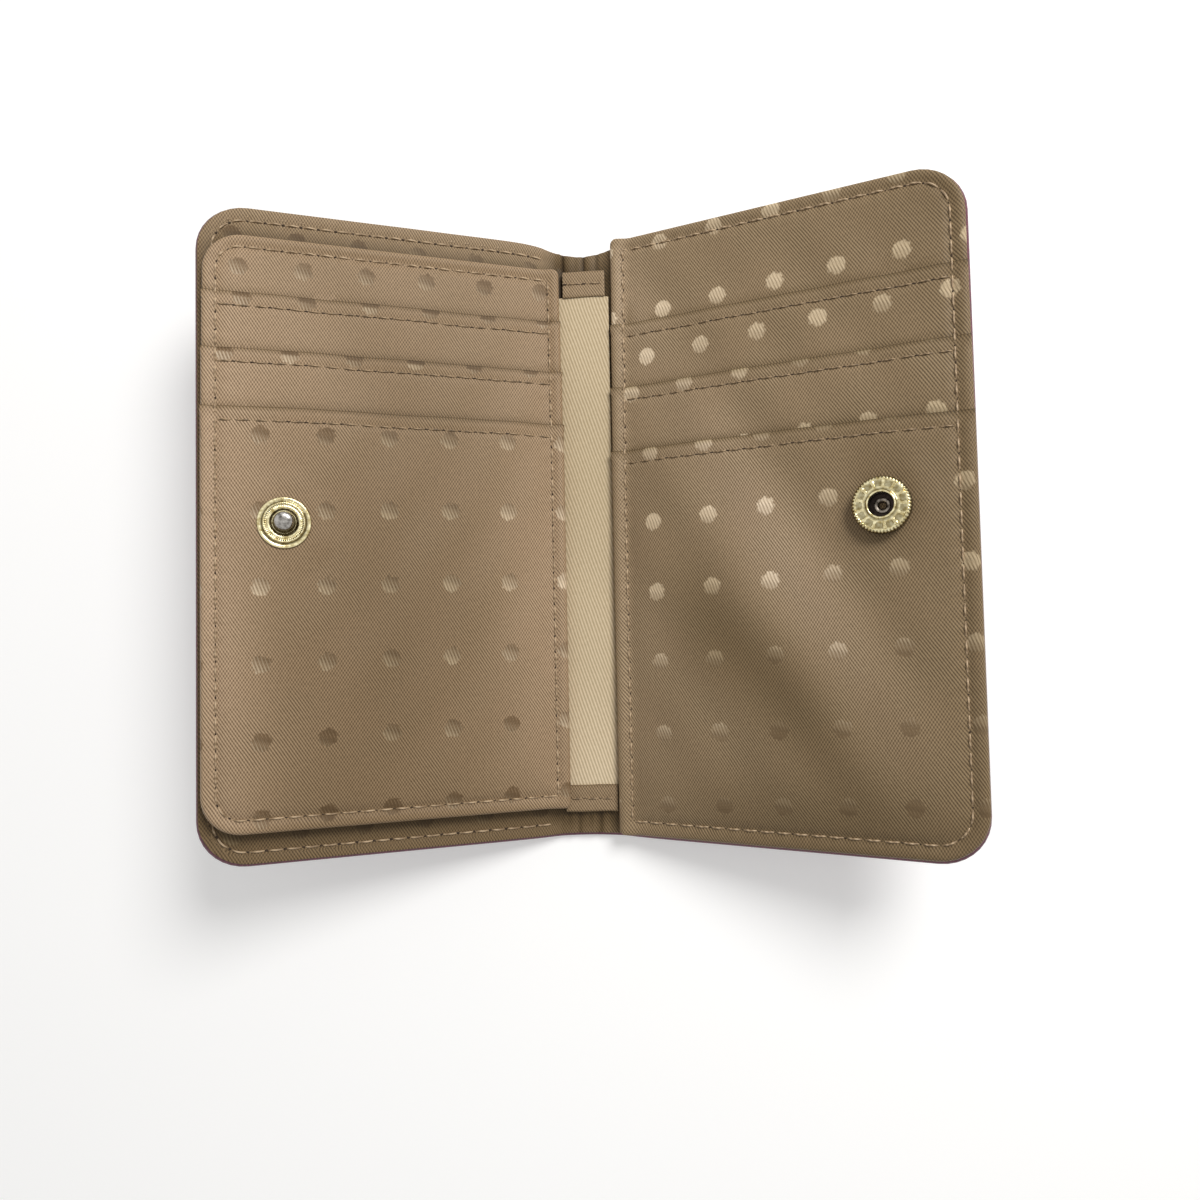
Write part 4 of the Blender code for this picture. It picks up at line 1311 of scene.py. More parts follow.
def snap_creases(across, along):
    away = np.hypot(across - SNAP_ACROSS, along - SNAP_ALONG)
    turn = np.arctan2(along - SNAP_ALONG, across - SNAP_ACROSS)
    fading = bell(away - SNAP_CREASE_RADIUS, SNAP_CREASE_WIDTH)
    return SNAP_CREASE_HEIGHT * np.cos(SNAP_CREASES * turn) * fading


def layer_face(part, number):
    pressed, puffed = part["pressed"][number], part["puffed"][number]
    top = part["pocket_tops"][number]

    def face(across, along):
        inset = inside_by(part["box"], part["radii"], across, along)
        inner = np.maximum(inset - part["seam_inset"], 0)
        puff = 1 - np.exp(-inner / PUFF_REACH)
        height = pressed + (puffed - pressed) * puff + hem_lift(part, across)
        height = height + ROLL_HEIGHT * bell(inset - ROLL_PLACE, ROLL_WIDTH)
        height = height + seam_dent(part["seam"], across, along, SEAM_SINK, SEAM_PUCKER)
        if number > 0:
            hem = part["hems"][number]
            holes = np.cos(math.tau * (across - hem["line"][0, 0]) / hem["stitch"])
            below = bell(top - along - HEM_INSET, HEM_WIDTH)
            height = height - (HEM_SINK + HEM_PUCKER * holes) * below
        loose = puff * (1 - snap_share(across, along)) if number == FRONT else puff
        shared = ripple(across, along, CLOTH_RIPPLE, part["side"])
        own = ripple(along, across, CLOTH_RIPPLE * OWN_RIPPLE_SHARE, number)
        height = height + (shared + own) * loose
        if number == FRONT:
            pressed_flat = snap_share(across, along)
            height = height + (puffed - height) * pressed_flat + snap_creases(across, along)
        return height

    return face


def sheen(part, across, along):
    """Satin cloth that bulges towards the light shines, and cloth that turns away is darker."""
    total = SHEEN_LEVEL[part["name"]] + SHEEN_FALL[part["name"]] * across
    for middle_across, middle_along, slope, long, wide, strength in SHEEN_BANDS[part["name"]]:
        cosine, sine = math.cos(math.radians(slope)), math.sin(math.radians(slope))
        away_across, away_along = across - middle_across, along - middle_along
        ahead = away_across * cosine + away_along * sine
        aside = away_along * cosine - away_across * sine
        total = total + strength * bell(ahead, long) * bell(aside, wide)
    return total


def layer_place(part, number):
    name, tops = part["name"], part["pocket_tops"]
    origin = SPOT_PLACES[name][number]
    seed = part["side"] * (number + 1)

    def place(across, along):
        right, up = across - origin[0], along - origin[1]
        u = (right + SPOT_LEAN[name] * up) * part["side"]
        v = up - right * SPOT_SKEW[name]
        if number < FRONT:
            tone = SPOT_TONES[name][number] + TONES_ALONG[name] * v
        else:
            rise = FRONT_TONE_RISE[name] * bell(v - FRONT_TONE_MIDDLE[name], FRONT_TONE_REACH)
            tone = FRONT_LOWEST_TONE[name] + rise
        tone = tone + TONES_ACROSS[name][number] * right
        tone = tone + OUTER_TONE[name] * fade(across, OUTER_START, OUTER_END)
        # Painted shade: the page's spots are darker on a pocket's rolled lip.
        if 0 < number < FRONT:
            tone = tone + LIP_TONE[name] * (1 - fade(tops[number] - along, LIP_START, LIP_END))
        shade = sheen(part, across, along)
        if number > 0:
            edge = fade(along, tops[number] - EDGE_SHADE_REACH, tops[number])
            shade = shade * (1 - EDGE_SHADE * edge)
        if number < FRONT:
            above = along - tops[number + 1]
            shade = shade * (1 - MOUTH_SHADE * np.exp(-np.abs(above) / MOUTH_SHADE_REACH))
        return on_cloth(u, v, tone, shade, PAINTED_LIGHT_WARMTH[name], seed)

    return place


def make_layer(part, number):
    top = part["pocket_tops"][number]
    grow = LAYER_STEP * (FRONT - number)
    box = (
        part["box"][0] + grow,
        part["box"][1] - grow,
        part["box"][2] + grow,
        top - (grow if number == 0 else 0),
    )
    radii = part["radii"] if number == 0 else part["radii"][:2] + (0.0, 0.0)
    face = layer_face(part, number)

    def wrapped(along):
        """0 at a pocket's folded top edge, 1 where the cloth wraps round the side."""
        return fade(top - along, WRAP_START, WRAP_END) if number > 0 else 1 + 0 * along

    def low(across, along, edge_along):
        side_low = part["low"] + hem_lift(part, across)
        folded_low = face(across, along) - FOLD_THICK
        return side_low + (folded_low - side_low) * (1 - wrapped(edge_along))

    def rim(across, along):
        return FOLD_RIM + (SIDE_RIM - FOLD_RIM) * wrapped(along)

    def turn_in(across, along):
        """The turned edge is trimmed at the top corners, where two seams cross."""
        side = np.minimum(across - box[0], box[1] - across)
        near_side = 1 - fade(side, TRIM_REACH, 2 * TRIM_REACH)
        near_top = 1 - fade(top - along, TRIM_REACH, 2 * TRIM_REACH)
        return TURN_IN + (TRIMMED_TURN_IN - TURN_IN) * near_side * near_top

    width, length = box[1] - box[0] - 2 * CORE_INSET, box[3] - box[2] - 2 * CORE_INSET
    if number < FRONT:
        along_marks = marks_fine_at_top(length, FINE_PART - CORE_INSET, SHEET_STEP, COARSE_STEP)
    else:
        along_marks = marks(length, SHEET_STEP)
    return sewn_piece(
        part["name"] + "_" + LAYER_NAMES[number] + "_cloth",
        CLOTHS[part["name"]],
        (box, radii, marks(width, SHEET_STEP), along_marks),
        face,
        low,
        rim,
        turn_in,
        SHEET_THICK,
        lambda across, along, height: on_leaf(part["side"], across, along, height),
        layer_place(part, number),
    )


for part in (PAGE, PANEL):
    part["seam"] = perimeter_seam(part)
    part["hems"] = [None] + [hem_seam(part, number) for number in range(1, FRONT + 1)]
    part["layers"] = [make_layer(part, number) for number in range(len(LAYER_NAMES))]
    for piece in part["layers"]:
        print(piece.name, len(piece.data.vertices), "points")

# %% [markdown]
# Behind the page
#
# The page has its own lining at the back, towards the note compartment, and its seam allowance
# joins it to the cover at the free side. Both are hardly seen, so they are made plainly, but they
# are there from the side.

# %% Line the page and join it to the cover
BACK_INSET = 0.0005
BACK_THICK = 0.00026
ALLOWANCE_ACROSS = (0.0581, 0.0603)
ALLOWANCE_ALONG = (-0.0438, 0.0439)
ALLOWANCE_HEIGHT = (0.00176, 0.00276)
ALLOWANCE_STEPS = 40
ALLOWANCE_BULGE = 0.00016
ROUND_STEPS = 6


back_box = (
    PAGE["box"][0] + BACK_INSET,
    PAGE["box"][1] - BACK_INSET,
    PAGE["box"][2] + BACK_INSET,
    PAGE["box"][3] - BACK_INSET,
)
page_back = sewn_piece(
    "page_back_cloth",
    lining_cloth,
    (
        back_box,
        PAGE["radii"],
        marks(back_box[1] - back_box[0], COARSE_STEP),
        marks(back_box[3] - back_box[2], COARSE_STEP),
    ),
    lambda across, along: PAGE["low"] + BACK_THICK + hem_lift(PAGE, across),
    lambda across, along, edge_along: PAGE["low"] + hem_lift(PAGE, across),
    constant(BACK_THICK / 2),
    constant(TURN_IN),
    BACK_THICK / 4,
    lambda across, along, height: on_leaf(LEFT, across, along, height),
    on_cloth,
)


def sweep(name, sections, places, *materials):
    """Skins a row of closed sections and caps both ends."""
    count, around = sections.shape[:2]
    faces = []
    for number in range(count - 1):
        first = list(range(number * around, (number + 1) * around))
        second = list(range((number + 1) * around, (number + 2) * around))
        faces += bridge(first, second)
    faces.append(list(range(around))[::-1])
    faces.append(list(range((count - 1) * around, count * around)))
    piece = add_mesh(name, sections.reshape(-1, 3), faces, *materials)
    set_cloth(piece.data, places.reshape(len(piece.data.vertices), -1))
    return finish_mesh(piece)


def pill(low, high, thin, wide_steps=1):
    """A closed outline in (position, height): flat faces with rounded ends."""
    turn = np.linspace(-math.pi / 2, math.pi / 2, ROUND_STEPS + 1)
    radius = thin / 2
    right = np.stack([high - radius + radius * np.cos(turn), radius * np.sin(turn)], axis=-1)
    left = np.stack([low + radius - radius * np.cos(turn), -radius * np.sin(turn)], axis=-1)
    across = np.linspace(high - radius, low + radius, wide_steps + 1)[1:-1]
    top = np.stack([across, radius + 0 * across], axis=-1)
    bottom = np.stack([across[::-1], -radius + 0 * across], axis=-1)
    return np.concatenate([right, top, left, bottom])


allowance_section = pill(*ALLOWANCE_ACROSS, ALLOWANCE_HEIGHT[1] - ALLOWANCE_HEIGHT[0], 4)
allowance_along = np.linspace(*ALLOWANCE_ALONG, ALLOWANCE_STEPS)
middle_height = sum(ALLOWANCE_HEIGHT) / 2
allowance = np.array(
    [
        on_leaf(
            LEFT,
            allowance_section[:, 0]
            + ALLOWANCE_BULGE * math.sin(along / ALLOWANCE_ACROSS[0] * math.tau),
            along,
            middle_height + allowance_section[:, 1],
        )
        for along in allowance_along
    ]
)
allowance_cloth = on_cloth(
    np.broadcast_to(allowance_section[:, 0], allowance.shape[:2]), allowance[:, :, 1]
)
page_allowance = sweep("page_seam_allowance_cloth", allowance, allowance_cloth, lining_cloth)
print(page_back.name, "and", page_allowance.name)

# %% [markdown]
# Spine strip and its bound ends
#
# A strip of cream twill lies over the spine, and a piece of the lining cloth is folded round each
# end of it and stitched. The strip is loose between the leaves, so it arches a little.

# %% Make the strip and the bindings
STRIP_HALF = 0.0050
STRIP_ALONG = (-0.0509, 0.0497)
STRIP_MIDDLE = 0.0025
STRIP_THICK = 0.0003
STRIP_ARCH = 0.00012
STRIP_WAVE = 0.00006
STRIP_WAVE_LENGTH = 0.024
STRIP_STEPS = 90
STRIP_WIDE_STEPS = 16
BINDING_ENDS = ((0.0501, 1), (-0.0513, -1))
BINDING_WIDE = 0.0050
BINDING_INNER = 0.00025
BINDING_OUTER = 0.00050
BINDING_DENT = 0.00012
BINDING_STEPS = 30
BINDING_EDGE = 0.0004
BINDING_SIDES = {"top": (-0.0036, 0.0043), "bottom": (-0.0047, 0.0048)}
BINDING_SLACK = 0.0001
BINDING_SEAM_INSET = 0.0004
BINDING_SHADE = 0.7
BINDING_WARMTH = 0.4
STRIP_SHADE_PLACES = (-0.051, -0.030, 0.010, 0.050)
STRIP_SHADES = (1.12, 0.98, 0.84, 0.92)


def inside_binding(across, word):
    left, right = BINDING_SIDES[word]
    return np.clip(across, left + BINDING_SLACK, right - BINDING_SLACK)


def make_strip():
    section = pill(-STRIP_HALF, STRIP_HALF, STRIP_THICK, STRIP_WIDE_STEPS)
    rows = []
    mouths = [end - direction * BINDING_WIDE for end, direction in BINDING_ENDS]
    places = [mouth + shift for mouth in mouths for shift in (-BINDING_SLACK, BINDING_SLACK)]
    for along in np.sort(np.concatenate([np.linspace(*STRIP_ALONG, STRIP_STEPS), places])):
        inner = fade(abs(along), BINDING_ENDS[0][0], BINDING_ENDS[0][0] - BINDING_WIDE)
        arch = STRIP_ARCH * np.cos(section[:, 0] / STRIP_HALF * math.pi / 2)
        turn = math.tau * along / STRIP_WAVE_LENGTH
        waves = STRIP_WAVE * np.sin(turn + section[:, 0] / STRIP_HALF)
        height = STRIP_MIDDLE + section[:, 1] + (arch + waves) * inner
        across = section[:, 0]
        if along > mouths[0]:
            across = inside_binding(across, "top")
        if along < mouths[1]:
            across = inside_binding(across, "bottom")
        rows.append(np.stack([across, along + 0 * height, height], axis=-1))
    sections = np.array(rows)
    along = sections[..., 1]
    shade = np.interp(along, STRIP_SHADE_PLACES, STRIP_SHADES)
    places = on_cloth(sections[..., 0], along, 0.0, shade)
    return sweep("spine_strip_twill", sections, places, cream_twill)


def make_binding(end, direction, word):
    turn = np.linspace(-math.pi / 2, math.pi / 2, 2 * ROUND_STEPS + 1)
    mouth = end - direction * BINDING_WIDE
    flat = np.linspace(0, 1, 2 * ROUND_STEPS + 1)
    centre = end - direction * BINDING_OUTER
    outer_round = np.stack(
        [centre + direction * BINDING_OUTER * np.cos(turn), BINDING_OUTER * np.sin(turn)], axis=-1
    )
    top = np.stack([centre + (mouth - centre) * flat[1:], BINDING_OUTER + 0 * flat[1:]], axis=-1)
    inner_round = np.stack(
        [centre + direction * BINDING_INNER * np.cos(turn), -BINDING_INNER * np.sin(turn)], axis=-1
    )
    inner_top = np.array([(mouth, BINDING_INNER)])
    inner_low = np.array([(mouth, -BINDING_INNER), (mouth, -BINDING_OUTER)])
    section = np.concatenate([outer_round, top, inner_top, inner_round, inner_low])
    middle = (mouth + end) / 2
    rows = []
    left, right = BINDING_SIDES[word]
    for across in np.linspace(left, right, BINDING_STEPS):
        holes = math.cos(math.tau * across / STITCH_LENGTH)
        dent = (BINDING_DENT + BINDING_DENT / 2 * holes) * bell(section[:, 0] - middle, SEAM_WIDTH)
        upper = fade(section[:, 1], BINDING_INNER, BINDING_OUTER)
        closing = fade(min(right - across, across - left), 0, BINDING_EDGE)
        wobble = STRIP_WAVE * math.sin(across / STRIP_HALF * math.pi + end)
        height = STRIP_MIDDLE + section[:, 1] - dent * upper - STRIP_WAVE * (1 - closing) * upper
        rows.append(np.stack([across + 0 * height, section[:, 0] + wobble, height], axis=-1))
    sections = np.array(rows)
    u = sections[..., 0] + SPOT_SPACING_ACROSS / 2
    v = sections[..., 1] + SPOT_SPACING_ALONG / 2 - middle
    half_wide = BINDING_WIDE / 2
    flat_part = 1 - fade(np.abs(sections[..., 1] - middle), half_wide - BINDING_OUTER, half_wide)
    places = on_cloth(u, v, 0.0, BINDING_SHADE + (1 - BINDING_SHADE) * flat_part, BINDING_WARMTH)
    return sweep("strip_binding_" + word + "_cloth", sections, places, lining_cloth)


strip = make_strip()
top_binding = make_binding(*BINDING_ENDS[0], "top")
bottom_binding = make_binding(*BINDING_ENDS[1], "bottom")
print(strip.name, top_binding.name, bottom_binding.name)

# %% [markdown]
# Lock stitches
#
# A lock stitch shows as a short length of thread between two needle holes. It dips into the hole at
# each end, and the hole shows as a dark spot beside it. Every stitch is a small tube that follows
# its seam, so rows turn the corners as real ones do.

# %% Sew the seams
SEAM_STITCH = {"radius": 0.00017, "hole_long": 0.00036, "hole_wide": 0.00021}
HEM_STITCH = {"radius": 0.00013, "hole_long": 0.00048, "hole_wide": 0.00015}
THREAD_RISE = 0.00015
THREAD_SUNK = 0.00010
THREAD_END_SHARE = 0.55
THREAD_ARCH_SHARE = 0.45
HOLE_GAP = 0.00030
HOLE_DEEP = 0.00006
HOLE_LIFT = 0.00003
STITCH_STEPS = 7
THREAD_SIDES = 8
PROBE = 0.0001
SEAM_END_INSIDE = 0.0088
HEM_WORDS = ((1, "rear"), (2, "middle"), (3, "front"))


def unit(vectors):
    return vectors / np.linalg.norm(vectors, axis=-1, keepdims=True)


def on_seam(seam, run):
    """Across and along at a distance along a seam."""
    return [np.interp(run, seam["run"], seam["line"][:, k]) for k in (0, 1)]


def frames_on(place, surface, across, along, lift):
    """Points on a surface, and the direction straight up from each."""
    height = surface(across, along)
    points = place(across, along, height + lift)
    up = place(across, along, height + PROBE) - place(across, along, height)
    return points, unit(up)


def stitch_tubes(seam, shown, surface, place, radius):
    """Points and faces of a small tube for each stitch, thinner at its ends."""
    length = seam["stitch"]
    marks_in = np.linspace(HOLE_GAP / 2, length - HOLE_GAP / 2, STITCH_STEPS)
    starts = np.arange(seam["count"]) * length
    across, along = on_seam(seam, starts[:, None] + marks_in[None, :])
    keep = shown(across[:, STITCH_STEPS // 2], along[:, STITCH_STEPS // 2])
    across, along = across[keep], along[keep]
    arch = np.sin(np.linspace(0, math.pi, STITCH_STEPS))
    lift = np.broadcast_to(THREAD_RISE * arch - THREAD_SUNK * (1 - arch), across.shape)
    points, up = frames_on(place, surface, across.ravel(), along.ravel(), lift.ravel())
    points, up = points.reshape(*across.shape, 3), up.reshape(*across.shape, 3)
    ahead = unit(np.gradient(points, axis=1))
    sideways = unit(np.cross(up, ahead))
    upright = np.cross(ahead, sideways)
    turn = np.linspace(0, math.tau, THREAD_SIDES, endpoint=False)
    thin = radius * (THREAD_END_SHARE + THREAD_ARCH_SHARE * np.sqrt(arch))[None, :, None, None]
    tube = points[:, :, None, :] + thin * (
        np.cos(turn)[None, None, :, None] * sideways[:, :, None, :]
        + np.sin(turn)[None, None, :, None] * upright[:, :, None, :]
    )
    faces = []
    around = np.arange(THREAD_SIDES)
    for stitch in range(len(tube)):
        first = stitch * STITCH_STEPS * THREAD_SIDES
        for step in range(STITCH_STEPS - 1):
            here = (first + step * THREAD_SIDES + around).tolist()
            there = (first + (step + 1) * THREAD_SIDES + around).tolist()
            faces += bridge(here, there)
        faces.append((first + around[::-1]).tolist())
        faces.append((first + (STITCH_STEPS - 1) * THREAD_SIDES + around).tolist())
    return tube.reshape(-1, 3), faces


def needle_holes(seam, shown, surface, place, hole_long, hole_wide, first_point):
    """Points and faces of a small flat lens for the shade in each needle hole.

    A hole is left out where the seam steps over a pocket's edge.
    """
    starts = np.arange(seam["count"]) * seam["stitch"]
    before, after = [surface(*on_seam(seam, starts + reach)) for reach in (-hole_long, hole_long)]
    across, along = on_seam(seam, starts)
    next_across, next_along = on_seam(seam, starts + PROBE)
    keep = shown(across, along) & ~(np.abs(after - before) > HOLE_DEEP)
    centres, up = frames_on(place, surface, across[keep], along[keep], HOLE_LIFT)
    beyond, _ = frames_on(place, surface, next_across[keep], next_along[keep], HOLE_LIFT)
    ahead = beyond - centres
    ahead = unit(ahead - up * np.sum(ahead * up, axis=-1, keepdims=True))
    sideways = np.cross(up, ahead)
    turn = np.linspace(0, math.tau, THREAD_SIDES, endpoint=False)
    rim = centres[:, None, :] + (
        hole_long * np.cos(turn)[None, :, None] * ahead[:, None, :]
        + hole_wide * np.sin(turn)[None, :, None] * sideways[:, None, :]
    )
    poles = [(centres + lift * up)[:, None] for lift in (HOLE_DEEP, -HOLE_DEEP)]
    lens = np.concatenate([rim, *poles], axis=1)
    faces = []
    for hole in range(len(lens)):
        first = first_point + hole * (THREAD_SIDES + 2)
        for k in range(THREAD_SIDES):
            next_k = (k + 1) % THREAD_SIDES
            faces.append([first + k, first + next_k, first + THREAD_SIDES])
            faces.append([first + next_k, first + k, first + THREAD_SIDES + 1])
    return lens.reshape(-1, 3), faces


def stitch_row(name, seam, shown, surface, place, thread):
    size = HEM_STITCH if thread is shaded_hem_thread else SEAM_STITCH
    row = (seam, shown, surface, place)
    tubes, tube_faces = stitch_tubes(*row, size["radius"])
    holes, hole_faces = needle_holes(*row, size["hole_long"], size["hole_wide"], len(tubes))
    points = np.concatenate([tubes, holes])
    piece = add_mesh(name, points, tube_faces + hole_faces, thread, needle_hole)
    which = [0] * len(tube_faces) + [1] * len(hole_faces)
    piece.data.polygons.foreach_set("material_index", which)
    shape = bmesh.new()
    shape.from_mesh(piece.data)
    bmesh.ops.recalc_face_normals(shape, faces=shape.faces)
    shape.to_mesh(piece.data)
    shape.free()
    piece.data.shade_smooth()
    return piece


def top_layer_surface(part):
    faces = [layer_face(part, number) for number in range(len(LAYER_NAMES))]

    def surface(across, along):
        height = faces[0](across, along)
        for number in range(1, FRONT + 1):
            height = np.where(
                along < part["pocket_tops"][number], faces[number](across, along), height
            )
        return height

    return surface


def everywhere(across, along):
    return np.full(len(across), True)


def sew_part(part):
    surface = top_layer_surface(part)

    def place(across, along, height):
        return on_leaf(part["side"], across, along, height)

    name = part["name"] + "_stitches"
    rows = [stitch_row(name, part["seam"], everywhere, surface, place, taupe_thread)]
    for number, word in HEM_WORDS:
        hem = part["hems"][number]
        rows.append(stitch_row(name + "_" + word, hem, everywhere, surface, place, shaded_hem_thread))
    return rows


page_rows = sew_part(PAGE)
panel_rows = sew_part(PANEL)
left_cover_row = stitch_row(
    "left_cover_stitches",
    cover_seam,
    lambda across, along: across < -SEAM_END_INSIDE,
    lining_face,
    on_tucked_cover,
    taupe_thread,
)


def below(place):
    """Turns a placing function over, so that height grows away from the leather's outside."""
    return lambda across, along, height: place(across, along, -height)


def leather_below(across, along):
    return -leather_face(across, along)


outer_rows = [
    stitch_row(
        word + "_outside_stitches",
        cover_seam,
        lambda across, along, side=side: across * side > 0,
        leather_below,
        below(on_tucked_cover),
        berry_thread,
    )
    for side, word in ((LEFT, "left"), (RIGHT, "right"))
]


def binding_surface(across, along):
    return STRIP_MIDDLE + BINDING_OUTER - BINDING_DENT + 0 * across


def upright_place(across, along, height):
    return np.stack([across, along + 0 * across, height + 0 * across], axis=-1)


binding_rows = []
for (end, direction), word in zip(BINDING_ENDS, ("top", "bottom")):
    middle = end - direction * BINDING_WIDE / 2
    left, right = BINDING_SIDES[word]
    seam = make_seam(
        np.array([(left + BINDING_SEAM_INSET, middle), (right - BINDING_SEAM_INSET, middle)])
    )
    binding_rows.append(
        stitch_row(
            "binding_" + word + "_stitches", seam, everywhere, binding_surface, upright_place,
            shaded_hem_thread,
        )
    )
print("sewn", len(page_rows + panel_rows + outer_rows + binding_rows) + 1, "rows of stitches")

# %% [markdown]
# The ring snap
#
# The stud and the socket are turned round an axis, so each is a profile of (radius, height) spun
# round. The stamped serrations and the beads on the rim are made in the shape, by letting the
# height or the radius rise and fall round the circle.

# %% Spin the snap's parts
STUD_BOTTOM = 0.00575
SOCKET_BOTTOM = 0.00435
STUD_TEETH = 60
SOCKET_BEADS = 52
TURNS_PER_TOOTH = 4
TOOTH_DEPTH = 0.00007
BEAD_DEPTH = 0.00009
STUD_PROFILE = (
    (0.00100, 0.00000, 0), (0.00410, 0.00000, 0), (0.00428, 0.00008, 0), (0.00430, 0.00020, 0),
    (0.00424, 0.00032, 0), (0.00408, 0.00038, 0), (0.00386, 0.00034, 0), (0.00366, 0.00028, 0),
    (0.00354, 0.00034, 0), (0.00347, 0.00060, 0), (0.00340, 0.00086, 0), (0.00330, 0.00100, 0),
    (0.00318, 0.00104, 0), (0.00308, 0.00102, 1), (0.00296, 0.00098, 1), (0.00284, 0.00094, 1),
    (0.00276, 0.00094, 0), (0.00256, 0.00096, 0), (0.00232, 0.00092, 0), (0.00210, 0.00082, 0),
    (0.00196, 0.00072, 0), (0.00186, 0.00074, 0), (0.00176, 0.00072, 0), (0.00168, 0.00062, 0),
    (0.00100, 0.00060, 0),
)
POST_PROFILE = (
    (0.00000, -0.00105, 0), (0.00085, -0.00105, 0), (0.00085, 0.00058, 0), (0.00125, 0.00066, 0),
    (0.00128, 0.00110, 0), (0.00130, 0.00150, 0), (0.00140, 0.00178, 0), (0.00154, 0.00204, 0),
    (0.00160, 0.00230, 0), (0.00157, 0.00252, 0), (0.00146, 0.00274, 0), (0.00128, 0.00290, 0),
    (0.00102, 0.00300, 0), (0.00070, 0.00304, 0), (0.00036, 0.00305, 0), (0.00000, 0.00305, 0),
)
SOCKET_PROFILE = (
    (0.00280, 0.00002, 0), (0.00440, 0.00002, 0), (0.00458, 0.00012, 0), (0.00463, 0.00040, 0),
    (0.00463, 0.00150, 0), (0.00463, 0.00172, 1), (0.00456, 0.00192, 1), (0.00444, 0.00206, 1),
    (0.00428, 0.00214, 1), (0.00412, 0.00214, 0), (0.00396, 0.00204, 0), (0.00380, 0.00202, 2),
    (0.00372, 0.00202, 2), (0.00306, 0.00204, 2), (0.00298, 0.00205, 2), (0.00282, 0.00208, 0),
    (0.00248, 0.00214, 0), (0.00238, 0.00224, 0),
    (0.00232, 0.00240, 0), (0.00224, 0.00251, 0), (0.00213, 0.00255, 0), (0.00202, 0.00250, 0),
    (0.00196, 0.00236, 0), (0.00195, 0.00200, 0), (0.00196, 0.00160, 0), (0.00210, 0.00150, 0),
    (0.00280, 0.00150, 0),
)
SOCKET_FLOOR_PROFILE = (
    (0.00055, 0.00002, 0), (0.00282, 0.00002, 0), (0.00282, 0.00030, 0), (0.00200, 0.00032, 0),
    (0.00140, 0.00030, 0), (0.00055, 0.00030, 0),
)
EYELET_PROFILE = (
    (0.00050, -0.00105, 0), (0.00062, -0.00105, 0), (0.00064, 0.00030, 0), (0.00110, 0.00034, 0),
    (0.00126, 0.00042, 0), (0.00124, 0.00054, 0), (0.00112, 0.00060, 0), (0.00094, 0.00058, 0),
    (0.00076, 0.00050, 0), (0.00060, 0.00036, 0), (0.00050, 0.00010, 0),
)
PLAIN_TURNS = 64
BARS = 13
BAR_HEIGHT = 0.00015
BAR_EDGES = (0.35, 0.75)
BAR_GROOVE = 0.6
HOLLOW_REACH = 0.00025
HOLLOW_DEPTH = 0.0005


def hollows(profile):
    """How deep each point of a profile lies below the points beside it, from 0 to 1."""
    radii, heights = np.array(profile)[:, :2].T
    beside = np.abs(radii[:, None] - radii[None, :]) < HOLLOW_REACH
    highest = np.where(beside, heights[None, :], heights.min()).max(axis=1)
    return np.clip((highest - heights) / HOLLOW_DEPTH, 0, 1)


def spin(name, profile, bottom, side, teeth, depth, material, outward=False):
    """Spins a closed profile round the snap's axis. A point marked 1 is serrated, and one marked 2
    carries the stamped bars."""
    turns = teeth * TURNS_PER_TOOTH if teeth else PLAIN_TURNS
    angle = np.linspace(0, math.tau, turns, endpoint=False)
    wave_round = (1 - np.cos(teeth * angle)) / 2 if teeth else 0 * angle
    bars = fade(np.cos(BARS * angle), *BAR_EDGES)
    rows = []
    grooves = []
    for (radius, height, cut), hollow in zip(profile, hollows(profile)):
        lower = depth * wave_round if cut == 1 else -BAR_HEIGHT * bars * (cut == 2)
        # Teeth, the gaps between the bars and hollows are marked dark: partly grime, partly painted
        # shade.
        groove = wave_round * (cut == 1) + BAR_GROOVE * (1 - bars) * (cut == 2)
        grooves.append(np.maximum(groove, hollow))
        radius_here = radius - (lower if outward else 0 * lower)
        rows.append(
            on_leaf(
                side,
                SNAP_ACROSS + radius_here * np.cos(angle),
                SNAP_ALONG + radius_here * np.sin(angle),
                bottom + height - lower,
            )
        )
    points = np.array(rows).reshape(-1, 3)
    faces = []
    for number in range(len(profile)):
        after = (number + 1) % len(profile)
        if after == 0 and profile[0][0] == 0 and profile[-1][0] == 0:
            continue
        first = list(range(number * turns, (number + 1) * turns))
        second = list(range(after * turns, (after + 1) * turns))
        faces += bridge(first, second)
    piece = add_mesh(name, points, faces, material)
    attribute = piece.data.attributes.new("groove", "FLOAT", "POINT")
    attribute.data.foreach_set("value", np.array(grooves, np.float32).ravel())
    return finish_mesh(piece)


stud_cup = spin("stud_cup", STUD_PROFILE, STUD_BOTTOM, LEFT, STUD_TEETH, TOOTH_DEPTH, pale_gold)
stud_pin = spin("stud_pin", POST_PROFILE, STUD_BOTTOM, LEFT, 0, 0, nickel)
socket_shell = spin(
    "socket_shell", SOCKET_PROFILE, SOCKET_BOTTOM, RIGHT, SOCKET_BEADS, BEAD_DEPTH, pale_gold,
    outward=True,
)
socket_floor = spin("socket_floor", SOCKET_FLOOR_PROFILE, SOCKET_BOTTOM, RIGHT, 0, 0, socket_steel_in_painted_shade)
eyelet = spin("rolled_eyelet", EYELET_PROFILE, SOCKET_BOTTOM, RIGHT, 0, 0, dull_steel)
print("snap parts:", stud_cup.name, stud_pin.name, socket_shell.name, eyelet.name)

# %% [markdown]
# What moves with what
#
# The leather, the cover lining, the page's back, the layers of the page and the panel and all the
# stitches on the cover and the parts have their placing baked into their points. The seam allowance,
# the strip, the bindings and their stitches, and the snap's parts ride on one body each. A new piece
# also hides the CAD nodes it stands for. The stitches outside and on the bindings stand for none,
# because the CAD model has no thread there.

# %% Tie the pieces to the bodies
FOLD_TOP_START = 0.0036


def blend_cover(piece, side):
    start = on_cover(np.array(side * (FLAT_HALF + FOLD_LENGTH)), np.array(0.0), np.array(0.0))
    end = on_cover(np.array(side * FLAT_HALF), np.array(0.0), np.array(0.0))
    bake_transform(piece)


